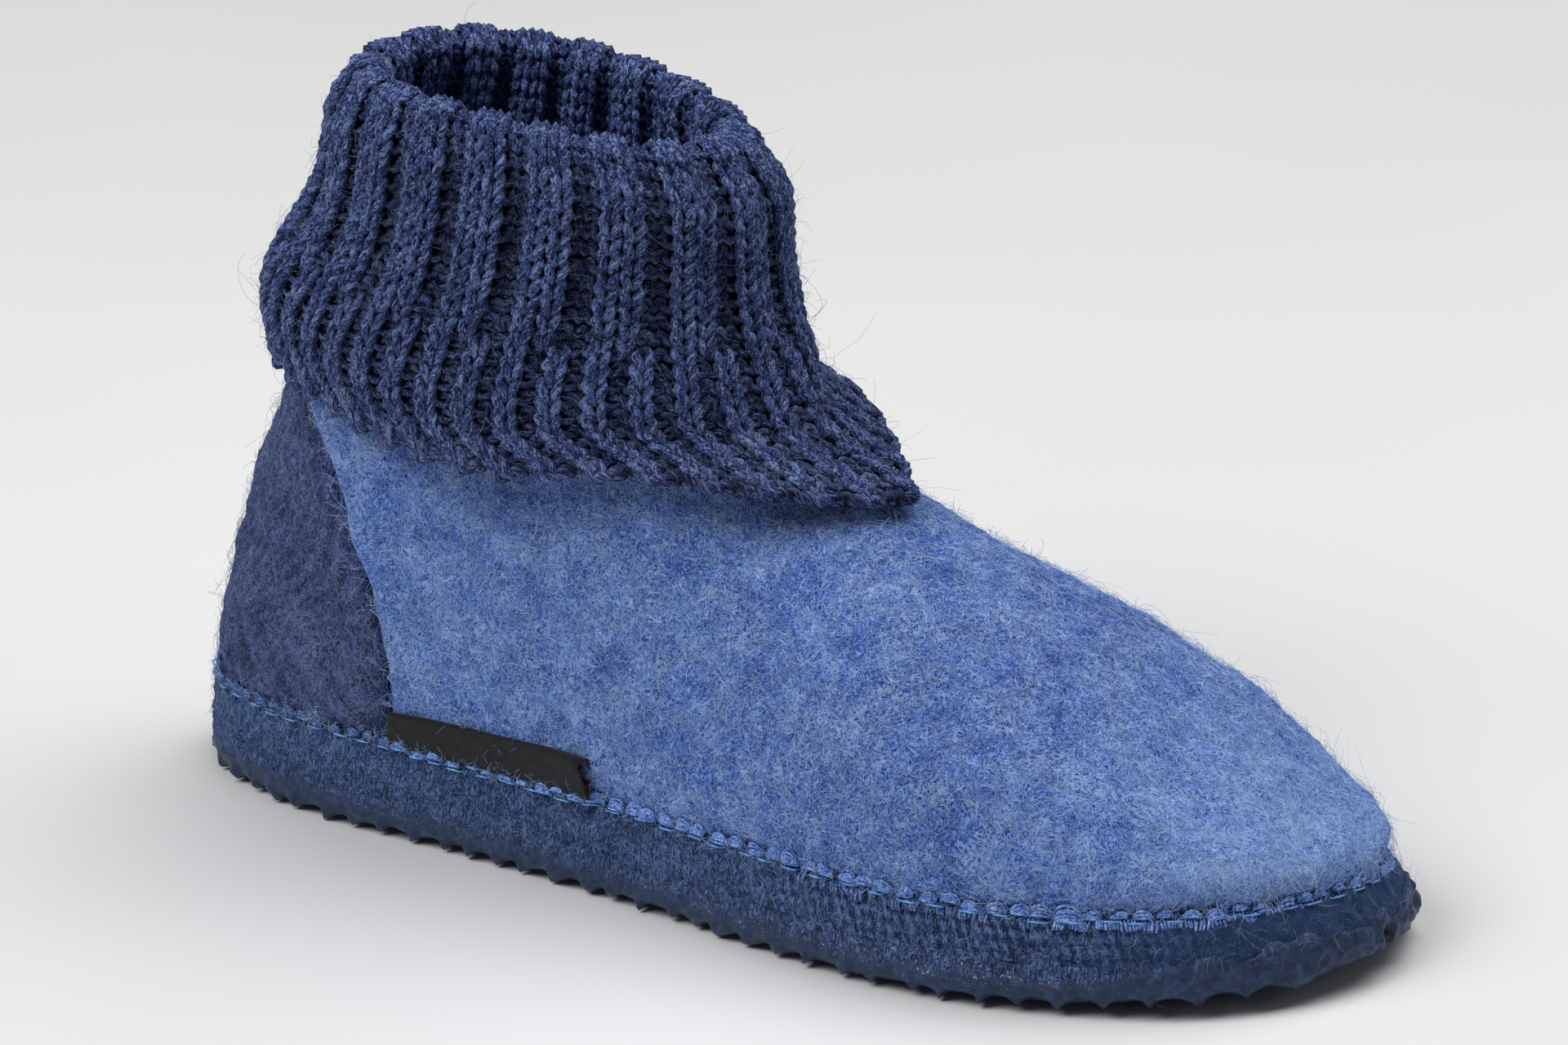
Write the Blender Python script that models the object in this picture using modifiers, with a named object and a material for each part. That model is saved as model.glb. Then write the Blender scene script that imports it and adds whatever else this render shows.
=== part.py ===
"""Felt ankle slipper for the right foot, with a folded rib-knit cuff and a ridged latex sole.

Frame: +X from heel to toe, +Y to the inner side of the foot, +Z up, and the floor at Z = 0.
Units: metres.
"""

import math

import bmesh
import bpy
import numpy as np

# Overall sizes
SOLE_LENGTH = 0.262
SEAT_GAP = 0.0003
COLLAR_GAP = 0.0006
FELT_WALL = 0.0030
KNIT_WALL = 0.0036
TOE_SPRING = 0.0036
TOE_SPRING_START = 0.055
TOE_SPRING_AT_SEAM = 0.2

# Heights of the layers
TRAY_FLOOR_TOP = 0.0038
TRAY_LIP_TOP = 0.0105
FELT_FLOOR_TOP = 0.0090
SEAM_HEIGHT = 0.0192
INSOLE_THICKNESS = 0.0030
COLLAR_HEIGHT = 0.0966
EDGE_UPRIGHT = 0.0020

# Walls of the sole, measured inwards from the plan outline
TRAY_LIP_WALL = 0.0016
SOLE_FELT_WALL = 0.0040
INSOLE_CLEARANCE = 0.0006

# Tread: ridges across the sole, parted by round grooves
RIDGE_PITCH = 0.0072
RIDGE_DEPTH = 0.0019
GROOVE_WIDTH = 0.0052
GROOVE_SIDES = 16
GROOVE_BAR_LENGTH = 0.160

# Points along each side of the foot, and rows up the upper
SIDE_STATIONS = 30
UPPER_ROWS = 15
OUTLINE_SAMPLES = 480

# Plan outline: share of the length, outer half width, inner half width
OUTLINE = (
    (0.02, 0.0130, 0.0130),
    (0.05, 0.0215, 0.0215),
    (0.10, 0.0280, 0.0285),
    (0.18, 0.0330, 0.0330),
    (0.30, 0.0350, 0.0330),
    (0.42, 0.0375, 0.0330),
    (0.54, 0.0420, 0.0360),
    (0.64, 0.0460, 0.0415),
    (0.72, 0.0475, 0.0450),
    (0.80, 0.0450, 0.0460),
    (0.88, 0.0375, 0.0440),
    (0.94, 0.0275, 0.0390),
    (0.98, 0.0145, 0.0300),
)
TOE_TIP_Y = 0.0170

# Side wall of the sole: height, inset from the plan outline, further inset at the toe tip
SOLE_WALL = (
    (0.0000, 0.0012, 0.0000),
    (0.0014, 0.0002, 0.0000),
    (0.0040, 0.0000, 0.0000),
    (0.0090, 0.0004, 0.0010),
    (0.0140, 0.0010, 0.0030),
    (0.0166, 0.0015, 0.0044),
    (SEAM_HEIGHT, 0.0022, 0.0062),
)
TOE_INSET_START = 0.080

# Back of the heel: height, place of the back
HEEL_LINE = (
    (SEAM_HEIGHT + EDGE_UPRIGHT, -0.1288),
    (0.034, -0.1266),
    (0.050, -0.1217),
    (0.066, -0.1163),
    (0.078, -0.1104),
    (0.087, -0.1044),
    (COLLAR_HEIGHT, -0.1004),
)

# Top of the toe, instep and shin: height, place of the front
INSTEP_LINE = (
    (SEAM_HEIGHT + EDGE_UPRIGHT, 0.1232),
    (0.0266, 0.1214),
    (0.0302, 0.1160),
    (0.0382, 0.1010),
    (0.0523, 0.0780),
    (0.0644, 0.0530),
    (0.0726, 0.0340),
    (0.0778, 0.0210),
    (0.0856, 0.0105),
    (COLLAR_HEIGHT, 0.0030),
    (0.1216, -0.0080),
    (0.1716, -0.0220),
)

# Ridge of the instep: place along the foot, side place
RIDGE_LINE = (
    (-0.130, 0.0000),
    (-0.040, 0.0000),
    (0.030, 0.0010),
    (0.080, 0.0040),
    (0.110, 0.0090),
    (0.124, 0.0130),
)

# Fullness of the upper: height, share of the plan width
FULLNESS = (
    (SEAM_HEIGHT, 1.000),
    (0.032, 1.020),
    (0.052, 1.000),
    (0.077, 0.960),
    (COLLAR_HEIGHT, 0.905),
)
HEEL_LEAN_END = -0.030
ARCH_POWER = 2.5
ARCH_ROUND = 0.52

# Front edge of the heel panel: height, place along the foot
PANEL_EDGE = (
    (0.012, -0.0660),
    (0.022, -0.0672),
    (0.050, -0.0716),
    (0.068, -0.0786),
    (0.080, -0.0870),
    (0.088, -0.0930),
    (0.112, -0.0968),
)
PANEL_EDGE_POINTS = 14

# Cuff, middle of the knit wall.
# Outer layer: share of the way from hem to fold, back, front, half width, point of the front
CUFF_OUTER = (
    (0.00, -0.1080, 0.0318, 0.0384, 1.38),
    (0.10, -0.1082, 0.0156, 0.0390, 1.25),
    (0.20, -0.1074, 0.0096, 0.0390, 1.09),
    (0.30, -0.1058, 0.0060, 0.0384, 1.02),
    (0.40, -0.1034, 0.0034, 0.0376, 0.98),
    (0.52, -0.0990, 0.0010, 0.0364, 0.95),
    (0.65, -0.0945, 0.0000, 0.0354, 0.94),
    (0.80, -0.0916, -0.0004, 0.0346, 0.90),
    (0.92, -0.0896, -0.0022, 0.0338, 0.90),
    (1.00, -0.0866, -0.0060, 0.0324, 0.90),
)
# Inner layer: share of the way from the felt collar to the fold, back, front, half width, point
CUFF_INNER = (
    (0.00, -0.0979, 0.0010, 0.0262, 0.75),
    (0.06, -0.0979, 0.0008, 0.0262, 0.75),
    (0.30, -0.0932, -0.0052, 0.0286, 0.95),
    (0.65, -0.0870, -0.0088, 0.0280, 0.95),
    (1.00, -0.0802, -0.0124, 0.0262, 0.90),
)
# Height of the hem: place along the foot, height
HEM_LINE = (
    (-0.110, 0.0866),
    (-0.055, 0.0826),
    (-0.005, 0.0846),
    (0.032, 0.0778),
)
FOLD_BACK_HEIGHT = 0.1470
FOLD_FRONT_HEIGHT = 0.1296
# The fold stands higher on the outer side, by degrees along the foot and across it
FOLD_OUTER_RISE = 0.0065
FOLD_RISE_ALONG = (-0.090, -0.020)
FOLD_RISE_ACROSS = (-0.005, 0.025)
FOLD_STEPS = 5
CUFF_INNER_ROWS = 6
CUFF_OUTER_ROWS = 10
CUFF_STATIONS = 20
CUFF_ROUND_BACK = 0.86

# Label: a ribbon folded lengthwise, both edges caught in the sole seam
LABEL_BACK = -0.0630
LABEL_FRONT = -0.0150
LABEL_RISE = 0.0086
LABEL_DEPTH = 0.0026
LABEL_FOOT = 0.0016
LABEL_RIBBON = 0.0006
LABEL_FOLD_STEPS = 6
LABEL_STATIONS = 10
LABEL_STANDOFF = 0.0009

COLOURS = {
    "latex": (0.035, 0.072, 0.130),
    "sole_felt": (0.030, 0.058, 0.105),
    "insole_felt": (0.060, 0.110, 0.230),
    "light_felt": (0.085, 0.200, 0.540),
    "dark_felt": (0.045, 0.075, 0.170),
    "knit": (0.030, 0.055, 0.150),
    "ribbon": (0.008, 0.008, 0.008),
}
SHARP_ANGLE = math.radians(50)
ROUGHNESS = {"latex": 0.45, "ribbon": 0.70}
CLOTH_ROUGHNESS = 0.95


def curve_at(table, at, column=1):
    """Value of a table's column at a key, on a smooth curve through its rows."""
    keys = np.array([row[0] for row in table], float)
    values = np.array([row[column] for row in table], float)
    slopes = np.gradient(values, keys)
    at = np.clip(np.asarray(at, float), keys[0], keys[-1])
    low = np.clip(np.searchsorted(keys, at) - 1, 0, len(keys) - 2)
    span = keys[low + 1] - keys[low]
    t = (at - keys[low]) / span
    return (
        (1 + 2 * t) * (1 - t) ** 2 * values[low]
        + t * (1 - t) ** 2 * span * slopes[low]
        + t * t * (3 - 2 * t) * values[low + 1]
        + t * t * (t - 1) * span * slopes[low + 1]
    )


def ease(value, start, end):
    """0 before start, 1 after end, smooth between."""
    t = np.clip((np.asarray(value, float) - start) / (end - start), 0.0, 1.0)
    return t * t * (3 - 2 * t)


def toe_lift(x):
    """Rise of the sole towards the toe."""
    reach = SOLE_LENGTH / 2 - TOE_SPRING_START
    return TOE_SPRING * np.clip((np.asarray(x, float) - TOE_SPRING_START) / reach, 0.0, 1.0) ** 2


def lifted(height, x):
    """Height of a layer of the sole with the toe spring, which is less towards the seam."""
    share = 1 - (1 - TOE_SPRING_AT_SEAM) * height / SEAM_HEIGHT
    return height + toe_lift(x) * share


def plan_outline():
    """Closed plan outline: heel tip, outer side, toe tip, inner side."""
    half = SOLE_LENGTH / 2
    outer = [(share * SOLE_LENGTH - half, -wide) for share, wide, _ in OUTLINE]
    inner = [(share * SOLE_LENGTH - half, wide) for share, _, wide in OUTLINE]
    loop = [(-half, 0.0), *outer, (half, TOE_TIP_Y), *inner[::-1]]
    overlap = 4
    knots = np.array([*loop[-overlap:], *loop, *loop[: overlap + 1]])
    along = np.concatenate([[0.0], np.cumsum(np.hypot(*np.diff(knots, axis=0).T))])
    start, end = along[overlap], along[overlap + len(loop)]
    at = np.linspace(start, end, OUTLINE_SAMPLES, endpoint=False)
    x = curve_at(list(zip(along, knots[:, 0])), at)
    y = curve_at(list(zip(along, knots[:, 1])), at)
    return np.column_stack([x - (x.max() + x.min()) / 2, y - (y.max() + y.min()) / 2])


PLAN = plan_outline()


def inset_plan(inset, toe_inset=0.0):
    """The plan outline moved inwards, further at the toe, as its outer and inner sides."""
    ahead = np.roll(PLAN, -1, axis=0) - np.roll(PLAN, 1, axis=0)
    inward = np.column_stack([-ahead[:, 1], ahead[:, 0]])
    inward /= np.linalg.norm(inward, axis=1)[:, None]
    amount = inset + toe_inset * ease(PLAN[:, 0], TOE_INSET_START, SOLE_LENGTH / 2)
    moved = PLAN + inward * amount[:, None]
    heel, toe = int(np.argmin(moved[:, 0])), int(np.argmax(moved[:, 0]))
    moved = np.roll(moved, -heel, axis=0)
    toe = (toe - heel) % len(moved)
    outer = moved[: toe + 1]
    inner = np.vstack([moved[toe:], moved[:1]])[::-1]
    return outer, inner


def spaced(start, end, count):
    """Places from start to end, close together at both ends."""
    turn = np.linspace(0.0, math.pi, count + 1)
    return start + (end - start) * (1 - np.cos(turn)) / 2


def plan_ring(height, inset, toe_inset=0.0):
    """Ring of points at a height of the sole: heel tip, outer side, toe tip, inner side."""
    outer, inner = inset_plan(inset, toe_inset)
    x = spaced(outer[0, 0], outer[-1, 0], SIDE_STATIONS)
    outer_y = np.interp(x, outer[:, 0], outer[:, 1])
    inner_y = np.interp(x, inner[:, 0], inner[:, 1])
    z = lifted(height, x)
    there = np.column_stack([x, outer_y, z])
    return np.vstack([there, np.column_stack([x, inner_y, z])[-2:0:-1]])


def wall_ring(height, further_in=0.0):
    """Ring on the sole's side wall at a height, moved further in by a wall's thickness."""
    inset = float(curve_at(SOLE_WALL, height, 1)) + further_in
    return plan_ring(height, inset, float(curve_at(SOLE_WALL, height, 2)))


def loft(name, rings, capped=True):
    """Mesh through closed rings of equal length, capped by rungs from side to side."""
    shape = bmesh.new()
    rows = [[shape.verts.new(point) for point in ring] for ring in rings]
    count = len(rows[0])
    for low, high in zip(rows, rows[1:]):
        for i in range(count):
            j = (i + 1) % count
            shape.faces.new((low[i], low[j], high[j], high[i]))
    for row in (rows[0], rows[-1]) if capped else ():
        for i in range(count // 2):
            corners = (row[i], row[i + 1], row[-i - 1], row[-i % count])
            shape.faces.new(tuple(dict.fromkeys(corners)))
    bmesh.ops.recalc_face_normals(shape, faces=shape.faces)
    mesh = bpy.data.meshes.new(name)
    shape.to_mesh(mesh)
    shape.free()
    return mesh


def finish_of(name):
    """Material with the named colour."""
    material = bpy.data.materials.get(name)
    if material is None:
        material = bpy.data.materials.new(name)
        material.use_nodes = True
        surface = material.node_tree.nodes["Principled BSDF"]
        surface.inputs["Base Color"].default_value = (*COLOURS[name], 1.0)
        surface.inputs["Roughness"].default_value = ROUGHNESS.get(name, CLOTH_ROUGHNESS)
        surface.inputs["Metallic"].default_value = 0.0
    return material


def add_object(name, mesh, collection, finish):
    """Object in a collection, with its material."""
    made = bpy.data.objects.new(name, mesh)
    mesh.materials.append(finish_of(finish))
    mesh.shade_smooth()
    mesh.set_sharp_from_angle(angle=SHARP_ANGLE)
    collection.objects.link(made)
    return made


def hide_cutter(cutter):
    """Marks a cutter so that only its cut shows."""
    cutter.hide_render = True
    cutter.display_type = "WIRE"


def cut(target, cutter, operation):
    """Boolean of a cutter on a target."""
    boolean = target.modifiers.new("cut_" + cutter.name, "BOOLEAN")
    boolean.operation = operation
    boolean.solver = "EXACT"
    boolean.object = cutter


def groove_cutter(cutters):
    """Round bars across the sole, one between each two ridges of the tread."""
    depth, half = RIDGE_DEPTH, GROOVE_WIDTH / 2
    radius = (half**2 + depth**2) / (2 * depth)
    count = int(SOLE_LENGTH / RIDGE_PITCH)
    bars = bmesh.new()
    for i in range(count + 1):
        x = (i - count / 2) * RIDGE_PITCH
        made = bmesh.ops.create_cone(
            bars,
            cap_ends=True,
            segments=GROOVE_SIDES,
            radius1=radius,
            radius2=radius,
            depth=GROOVE_BAR_LENGTH,
        )
        for vert in made["verts"]:
            across, up, along = vert.co.x, vert.co.y, vert.co.z
            vert.co = (x + across, along, float(toe_lift(x)) + depth - radius + up)
    bmesh.ops.recalc_face_normals(bars, faces=bars.faces)
    mesh = bpy.data.meshes.new("groove_bars")
    bars.to_mesh(mesh)
    bars.free()
    cutter = bpy.data.objects.new("groove_bars", mesh)
    cutters.objects.link(cutter)
    hide_cutter(cutter)
    return cutter


def build_outsole(parts, cutters):
    """Latex tray: a ridged floor and a lip round the felt sole."""
    heights = [row[0] for row in SOLE_WALL if row[0] < TRAY_LIP_TOP]
    outside = [wall_ring(z) for z in (*heights, TRAY_LIP_TOP)]
    inside = [wall_ring(z, TRAY_LIP_WALL) for z in (TRAY_LIP_TOP, TRAY_FLOOR_TOP)]
    outsole = add_object("outsole", loft("outsole", outside + inside), parts, "latex")
    cut(outsole, groove_cutter(cutters), "DIFFERENCE")


def build_felt_sole(parts):
    """Felt cup: a floor in the latex tray and a wall up to the sole seam."""
    low = TRAY_FLOOR_TOP + SEAT_GAP
    step = TRAY_LIP_TOP + SEAT_GAP
    seat = TRAY_LIP_WALL + SEAT_GAP
    heights = [row[0] for row in SOLE_WALL if step < row[0] < SEAM_HEIGHT]
    outside = [wall_ring(z, seat) for z in (low, step)]
    outside += [wall_ring(z) for z in (step, *heights, SEAM_HEIGHT)]
    inside = [wall_ring(z, SOLE_FELT_WALL) for z in (SEAM_HEIGHT, *heights[::-1], FELT_FLOOR_TOP)]
    add_object("felt_sole", loft("felt_sole", outside + inside), parts, "sole_felt")


def build_insole(parts):
    """Loose felt footbed inside the felt sole."""
    low = FELT_FLOOR_TOP + SEAT_GAP
    seat = SOLE_FELT_WALL + INSOLE_CLEARANCE
    top = wall_ring(low + INSOLE_THICKNESS, seat)
    bottom = top.copy()
    bottom[:, 2] = lifted(low, top[:, 0])
    add_object("insole", loft("insole", [bottom, top]), parts, "insole_felt")


def seam_sides():
    """Outer and inner side of the plan at the sole seam."""
    inset, toe_inset = SOLE_WALL[-1][1:]
    return inset_plan(inset, toe_inset)


def instep_profile():
    """Heights up the instep and the place of the front at each."""
    heights = np.linspace(INSTEP_LINE[0][0], INSTEP_LINE[-1][0], OUTLINE_SAMPLES)
    return heights, np.minimum.accumulate(curve_at(INSTEP_LINE, heights))


INSTEP_HEIGHTS, INSTEP_FRONTS = instep_profile()


def ridge_height(x):
    """Height of the instep ridge at a place along the foot."""
    return np.interp(x, INSTEP_FRONTS[::-1], INSTEP_HEIGHTS[::-1])


def upper_ring(height):
    """Ring of the upper's outer face: the plan, arched over towards the instep ridge."""
    share = (height - SEAM_HEIGHT) / (COLLAR_HEIGHT - SEAM_HEIGHT)
    lowest = SEAM_HEIGHT + EDGE_UPRIGHT
    lift = height + SEAT_GAP
    height = max(height, lowest)
    outer, inner = seam_sides()
    back = float(curve_at(HEEL_LINE, height))
    front = min(float(np.interp(height, INSTEP_HEIGHTS, INSTEP_FRONTS)), outer[-1, 0])
    x = spaced(back, front, SIDE_STATIONS)
    lean = back - outer[0, 0]
    in_plan = x - lean * (1 - ease(x, back, HEEL_LEAN_END))
    outer_y = np.interp(in_plan, outer[:, 0], outer[:, 1])
    inner_y = np.interp(in_plan, inner[:, 0], inner[:, 1])
    rise = np.clip((height - lowest) / np.maximum(ridge_height(x) - lowest, SEAT_GAP), 0.0, 1.0)
    arch = (1 - rise**ARCH_POWER) ** ARCH_ROUND
    middle = (outer_y + inner_y) / 2
    middle += (curve_at(RIDGE_LINE, x) - middle) * rise**2
    wide = (inner_y - outer_y) / 2 * arch * float(curve_at(FULLNESS, height))
    z = lift + toe_lift(x) * TOE_SPRING_AT_SEAM * (1 - share)
    there = np.column_stack([x, middle - wide, z])
    back_again = np.column_stack([x, middle + wide, z])[-2:0:-1]
    return np.vstack([there, back_again])


def shell_object(name, parts, finish):
    """The whole upper as an open surface, thickened inwards to the felt's wall."""
    heights = [SEAM_HEIGHT, *np.linspace(SEAM_HEIGHT + EDGE_UPRIGHT, COLLAR_HEIGHT, UPPER_ROWS)]
    mesh = loft(name, [upper_ring(z) for z in heights], capped=False)
    shell = add_object(name, mesh, parts, finish)
    wall = shell.modifiers.new("felt_wall", "SOLIDIFY")
    wall.thickness = FELT_WALL
    wall.offset = -1.0
    wall.use_even_offset = True
    return shell


def panel_cutter(name, shift, cutters):
    """Prism across the heel, from behind it to the heel panel's front edge."""
    heights = np.linspace(PANEL_EDGE[0][0], PANEL_EDGE[-1][0], PANEL_EDGE_POINTS)
    edge = [(float(curve_at(PANEL_EDGE, z)) + shift, z) for z in heights]
    behind = -SOLE_LENGTH
    outline = [(behind, heights[0]), *edge, (behind, heights[-1])]
    half = SOLE_LENGTH / 2
    shape = bmesh.new()
    near = [shape.verts.new((x, -half, z)) for x, z in outline]
    face = shape.faces.new(near)
    far = bmesh.ops.extrude_face_region(shape, geom=[face])["geom"]
    moved = [item for item in far if isinstance(item, bmesh.types.BMVert)]
    bmesh.ops.translate(shape, verts=moved, vec=(0.0, 2 * half, 0.0))
    bmesh.ops.recalc_face_normals(shape, faces=shape.faces)
    mesh = bpy.data.meshes.new(name)
    shape.to_mesh(mesh)
    shape.free()
    cutter = bpy.data.objects.new(name, mesh)
    cutters.objects.link(cutter)
    hide_cutter(cutter)
    return cutter


def build_upper(parts, cutters):
    """Vamp and quarters in one piece, and the heel panel sewn in behind them."""
    half_gap = SEAT_GAP / 2
    upper = shell_object("upper", parts, "light_felt")
    cut(upper, panel_cutter("behind_panel_edge", half_gap, cutters), "DIFFERENCE")
    panel = shell_object("heel_panel", parts, "dark_felt")
    cut(panel, panel_cutter("heel_panel_prism", -half_gap, cutters), "INTERSECT")


def cuff_ring(table, share, lift):
    """Ring of the cuff's knit wall, with lift giving the height at each place in plan."""
    back, front, half, point = (float(curve_at(table, share, column)) for column in (1, 2, 3, 4))
    turn = np.linspace(0.0, math.pi, CUFF_STATIONS + 1)
    x = back + (front - back) * (1 - np.cos(turn)) / 2
    power = CUFF_ROUND_BACK + (point - CUFF_ROUND_BACK) * ease(turn, 0.0, math.pi)
    wide = half * np.maximum(np.sin(turn), 0.0) ** power
    middle = curve_at(RIDGE_LINE, x)
    outer_y, inner_y = middle - wide, middle + wide
    there = np.column_stack([x, outer_y, lift(x, outer_y)])
    return np.vstack([there, np.column_stack([x, inner_y, lift(x, inner_y)])[-2:0:-1]])


def fold_height(x, y):
    """Height of the fold line, which falls towards the shin, less so on the outer side."""
    back, front = CUFF_OUTER[-1][1:3]
    share = (x - back) / (front - back)
    rise = FOLD_OUTER_RISE * ease(x, *FOLD_RISE_ALONG) * (1 - ease(y, *FOLD_RISE_ACROSS))
    return FOLD_BACK_HEIGHT + (FOLD_FRONT_HEIGHT - FOLD_BACK_HEIGHT) * share + rise


def build_cuff(parts):
    """Knit tube: up from the felt collar, folded over at the top, and down to a free hem."""
    seat = COLLAR_HEIGHT + SEAT_GAP + COLLAR_GAP

    def inner_lift(share):
        return lambda x, y: seat + share * (fold_height(x, y) - seat)

    def outer_lift(share):
        return lambda x, y: (1 - share) * curve_at(HEM_LINE, x) + share * fold_height(x, y)

    upward = np.linspace(0, 1, CUFF_INNER_ROWS)
    downward = np.linspace(1, 0, CUFF_OUTER_ROWS)
    inner = [cuff_ring(CUFF_INNER, share, inner_lift(share)) for share in upward]
    outer = [cuff_ring(CUFF_OUTER, share, outer_lift(share)) for share in downward]
    fold = []
    for step in range(1, FOLD_STEPS):
        turn = math.pi * step / FOLD_STEPS
        ring = inner[-1] + (outer[0] - inner[-1]) * (1 - math.cos(turn)) / 2
        across = np.linalg.norm((outer[0] - inner[-1])[:, :2], axis=1)
        ring[:, 2] += across / 2 * math.sin(turn)
        fold.append(ring)
    mesh = loft("cuff", inner + fold + outer, capped=False)
    cuff = add_object("cuff", mesh, parts, "knit")
    wall = cuff.modifiers.new("knit_wall", "SOLIDIFY")
    wall.thickness = KNIT_WALL
    wall.offset = 0.0
    wall.use_even_offset = True


def upper_side_point(x, height):
    """Point and outward direction on the outer side of the upper, at a height near the seam."""
    ring = upper_ring(height)[: SIDE_STATIONS + 1]
    y = np.interp(x, ring[:, 0], ring[:, 1])
    step = SOLE_LENGTH / SIDE_STATIONS
    slope = (np.interp(x + step, ring[:, 0], ring[:, 1]) - y) / step
    outward = np.array([slope, -1.0])
    return y, outward / np.linalg.norm(outward)


def label_profile():
    """Ribbon's path across its length: distance out from the upper and height, up, over and down."""
    radius = LABEL_DEPTH / 2
    path = [(0.0, 0.0)]
    for turn in np.linspace(0.0, math.pi, LABEL_FOLD_STEPS + 1):
        path.append((radius * (1 - math.cos(turn)), LABEL_RISE - radius + radius * math.sin(turn)))
    path.append((LABEL_DEPTH, LABEL_RISE / 2))
    path.append((LABEL_FOOT, 0.0))
    return path


def build_label(parts):
    """Plain woven ribbon loop, standing on the sole seam against the outer side of the upper."""
    low = SEAM_HEIGHT + LABEL_RIBBON
    profile = label_profile()
    shape = bmesh.new()
    rows = []
    for x in np.linspace(LABEL_BACK, LABEL_FRONT, LABEL_STATIONS):
        y, outward = upper_side_point(x, SEAM_HEIGHT + LABEL_RISE)
        row = []
        for out, rise in profile:
            away = LABEL_STANDOFF + out
            place = (x + outward[0] * away, y + outward[1] * away, low + rise + float(toe_lift(x)))
            row.append(shape.verts.new(place))
        rows.append(row)
    for near, far in zip(rows, rows[1:]):
        for i in range(len(profile) - 1):
            shape.faces.new((near[i], near[i + 1], far[i + 1], far[i]))
    bmesh.ops.recalc_face_normals(shape, faces=shape.faces)
    mesh = bpy.data.meshes.new("label_loop")
    shape.to_mesh(mesh)
    shape.free()
    label = add_object("label_loop", mesh, parts, "ribbon")
    wall = label.modifiers.new("ribbon", "SOLIDIFY")
    wall.thickness = LABEL_RIBBON
    wall.offset = 0.0


def main():
    for old in list(bpy.data.objects):
        bpy.data.objects.remove(old)
    parts = bpy.data.collections.new("felt_slipper")
    cutters = bpy.data.collections.new("cutters")
    bpy.context.scene.collection.children.link(parts)
    bpy.context.scene.collection.children.link(cutters)
    build_outsole(parts, cutters)
    build_felt_sole(parts)
    build_insole(parts)
    build_upper(parts, cutters)
    build_cuff(parts)
    build_label(parts)


main()
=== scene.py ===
"""Visual model of an ankle-high felt slipper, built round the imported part.

Each solid of the part is replaced by finer pieces in the same place: boiled wool with its fibres, a cuff of
knitted yarn, a rough latex tread, seam stitches and a plain ribbon loop.
"""

import math

import bpy
import numpy as np
from mathutils import Matrix, Vector


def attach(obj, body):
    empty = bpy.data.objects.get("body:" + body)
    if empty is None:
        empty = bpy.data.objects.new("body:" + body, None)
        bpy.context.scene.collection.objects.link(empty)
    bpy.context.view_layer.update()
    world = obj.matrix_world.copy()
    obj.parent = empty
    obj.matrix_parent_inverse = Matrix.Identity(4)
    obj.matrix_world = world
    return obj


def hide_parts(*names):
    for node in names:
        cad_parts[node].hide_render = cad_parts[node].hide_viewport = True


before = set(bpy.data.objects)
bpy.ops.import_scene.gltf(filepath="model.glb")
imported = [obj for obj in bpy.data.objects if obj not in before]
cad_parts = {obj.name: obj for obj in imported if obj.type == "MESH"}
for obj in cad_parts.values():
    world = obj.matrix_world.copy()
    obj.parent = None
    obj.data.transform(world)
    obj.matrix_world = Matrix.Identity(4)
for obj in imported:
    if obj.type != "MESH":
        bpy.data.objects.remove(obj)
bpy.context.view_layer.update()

MM = 0.001
UP = np.array([0.0, 0.0, 1.0])
FULL_TURN = 2 * math.pi

# Sizes of the part in metres; some rows of the tables follow the photo, a few mm from the solids
SOLE_LENGTH = 0.262
SEAT_GAP = 0.0003
COLLAR_GAP = 0.0006
FELT_WALL = 0.0030
TOE_SPRING = 0.0036
TOE_SPRING_START = 0.055
TOE_SPRING_AT_SEAM = -0.3
SEAM_DIP = 0.0035
SEAM_DIP_ALONG = (0.085, 0.120)
SEAM_DIP_ACROSS = (-0.005, 0.030)
TRAY_FLOOR_TOP = 0.0038
TRAY_LIP_TOP = 0.0105
TRAY_LIP_WALL = 0.0016
FELT_FLOOR_TOP = 0.0090
SOLE_FELT_WALL = 0.0040
SEAM_HEIGHT = 0.0192
INSOLE_THICKNESS = 0.0030
INSOLE_CLEARANCE = 0.0006
COLLAR_HEIGHT = 0.0966
EDGE_UPRIGHT = 0.0020
LOWEST = SEAM_HEIGHT + EDGE_UPRIGHT
RIDGE_PITCH = 0.0072
RIDGE_DEPTH = 0.0019
TOE_TIP_Y = 0.0170
TOE_INSET_START = 0.080
HEEL_LEAN_END = -0.030
ARCH_POWER = 2.5
ARCH_ROUND = 0.52
CUFF_ROUND_BACK = 0.86
FOLD_BACK_HEIGHT = 0.1470
FOLD_FRONT_HEIGHT = 0.1296
FOLD_OUTER_RISE = 0.0065
FOLD_RISE_ALONG = (-0.090, -0.020)
FOLD_RISE_ACROSS = (-0.005, 0.025)
FOLD_CROWN = 0.0018
LABEL_BACK = -0.0652
LABEL_FRONT = -0.0150
LABEL_RISE = 0.0086
LABEL_DEPTH = 0.0026
LABEL_RIBBON = 0.0006
LABEL_STANDOFF = 0.0009

# Share of the length from the heel, reach to the outer side, reach to the inner side
OUTLINE = (
    (0.02, 0.0130, 0.0130), (0.05, 0.0215, 0.0215), (0.10, 0.0280, 0.0285), (0.18, 0.0330, 0.0330),
    (0.30, 0.0350, 0.0330), (0.42, 0.0375, 0.0330), (0.54, 0.0420, 0.0360), (0.64, 0.0460, 0.0415),
    (0.72, 0.0475, 0.0450), (0.80, 0.0450, 0.0460), (0.88, 0.0375, 0.0440), (0.94, 0.0275, 0.0390),
    (0.98, 0.0145, 0.0300),
)
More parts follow.
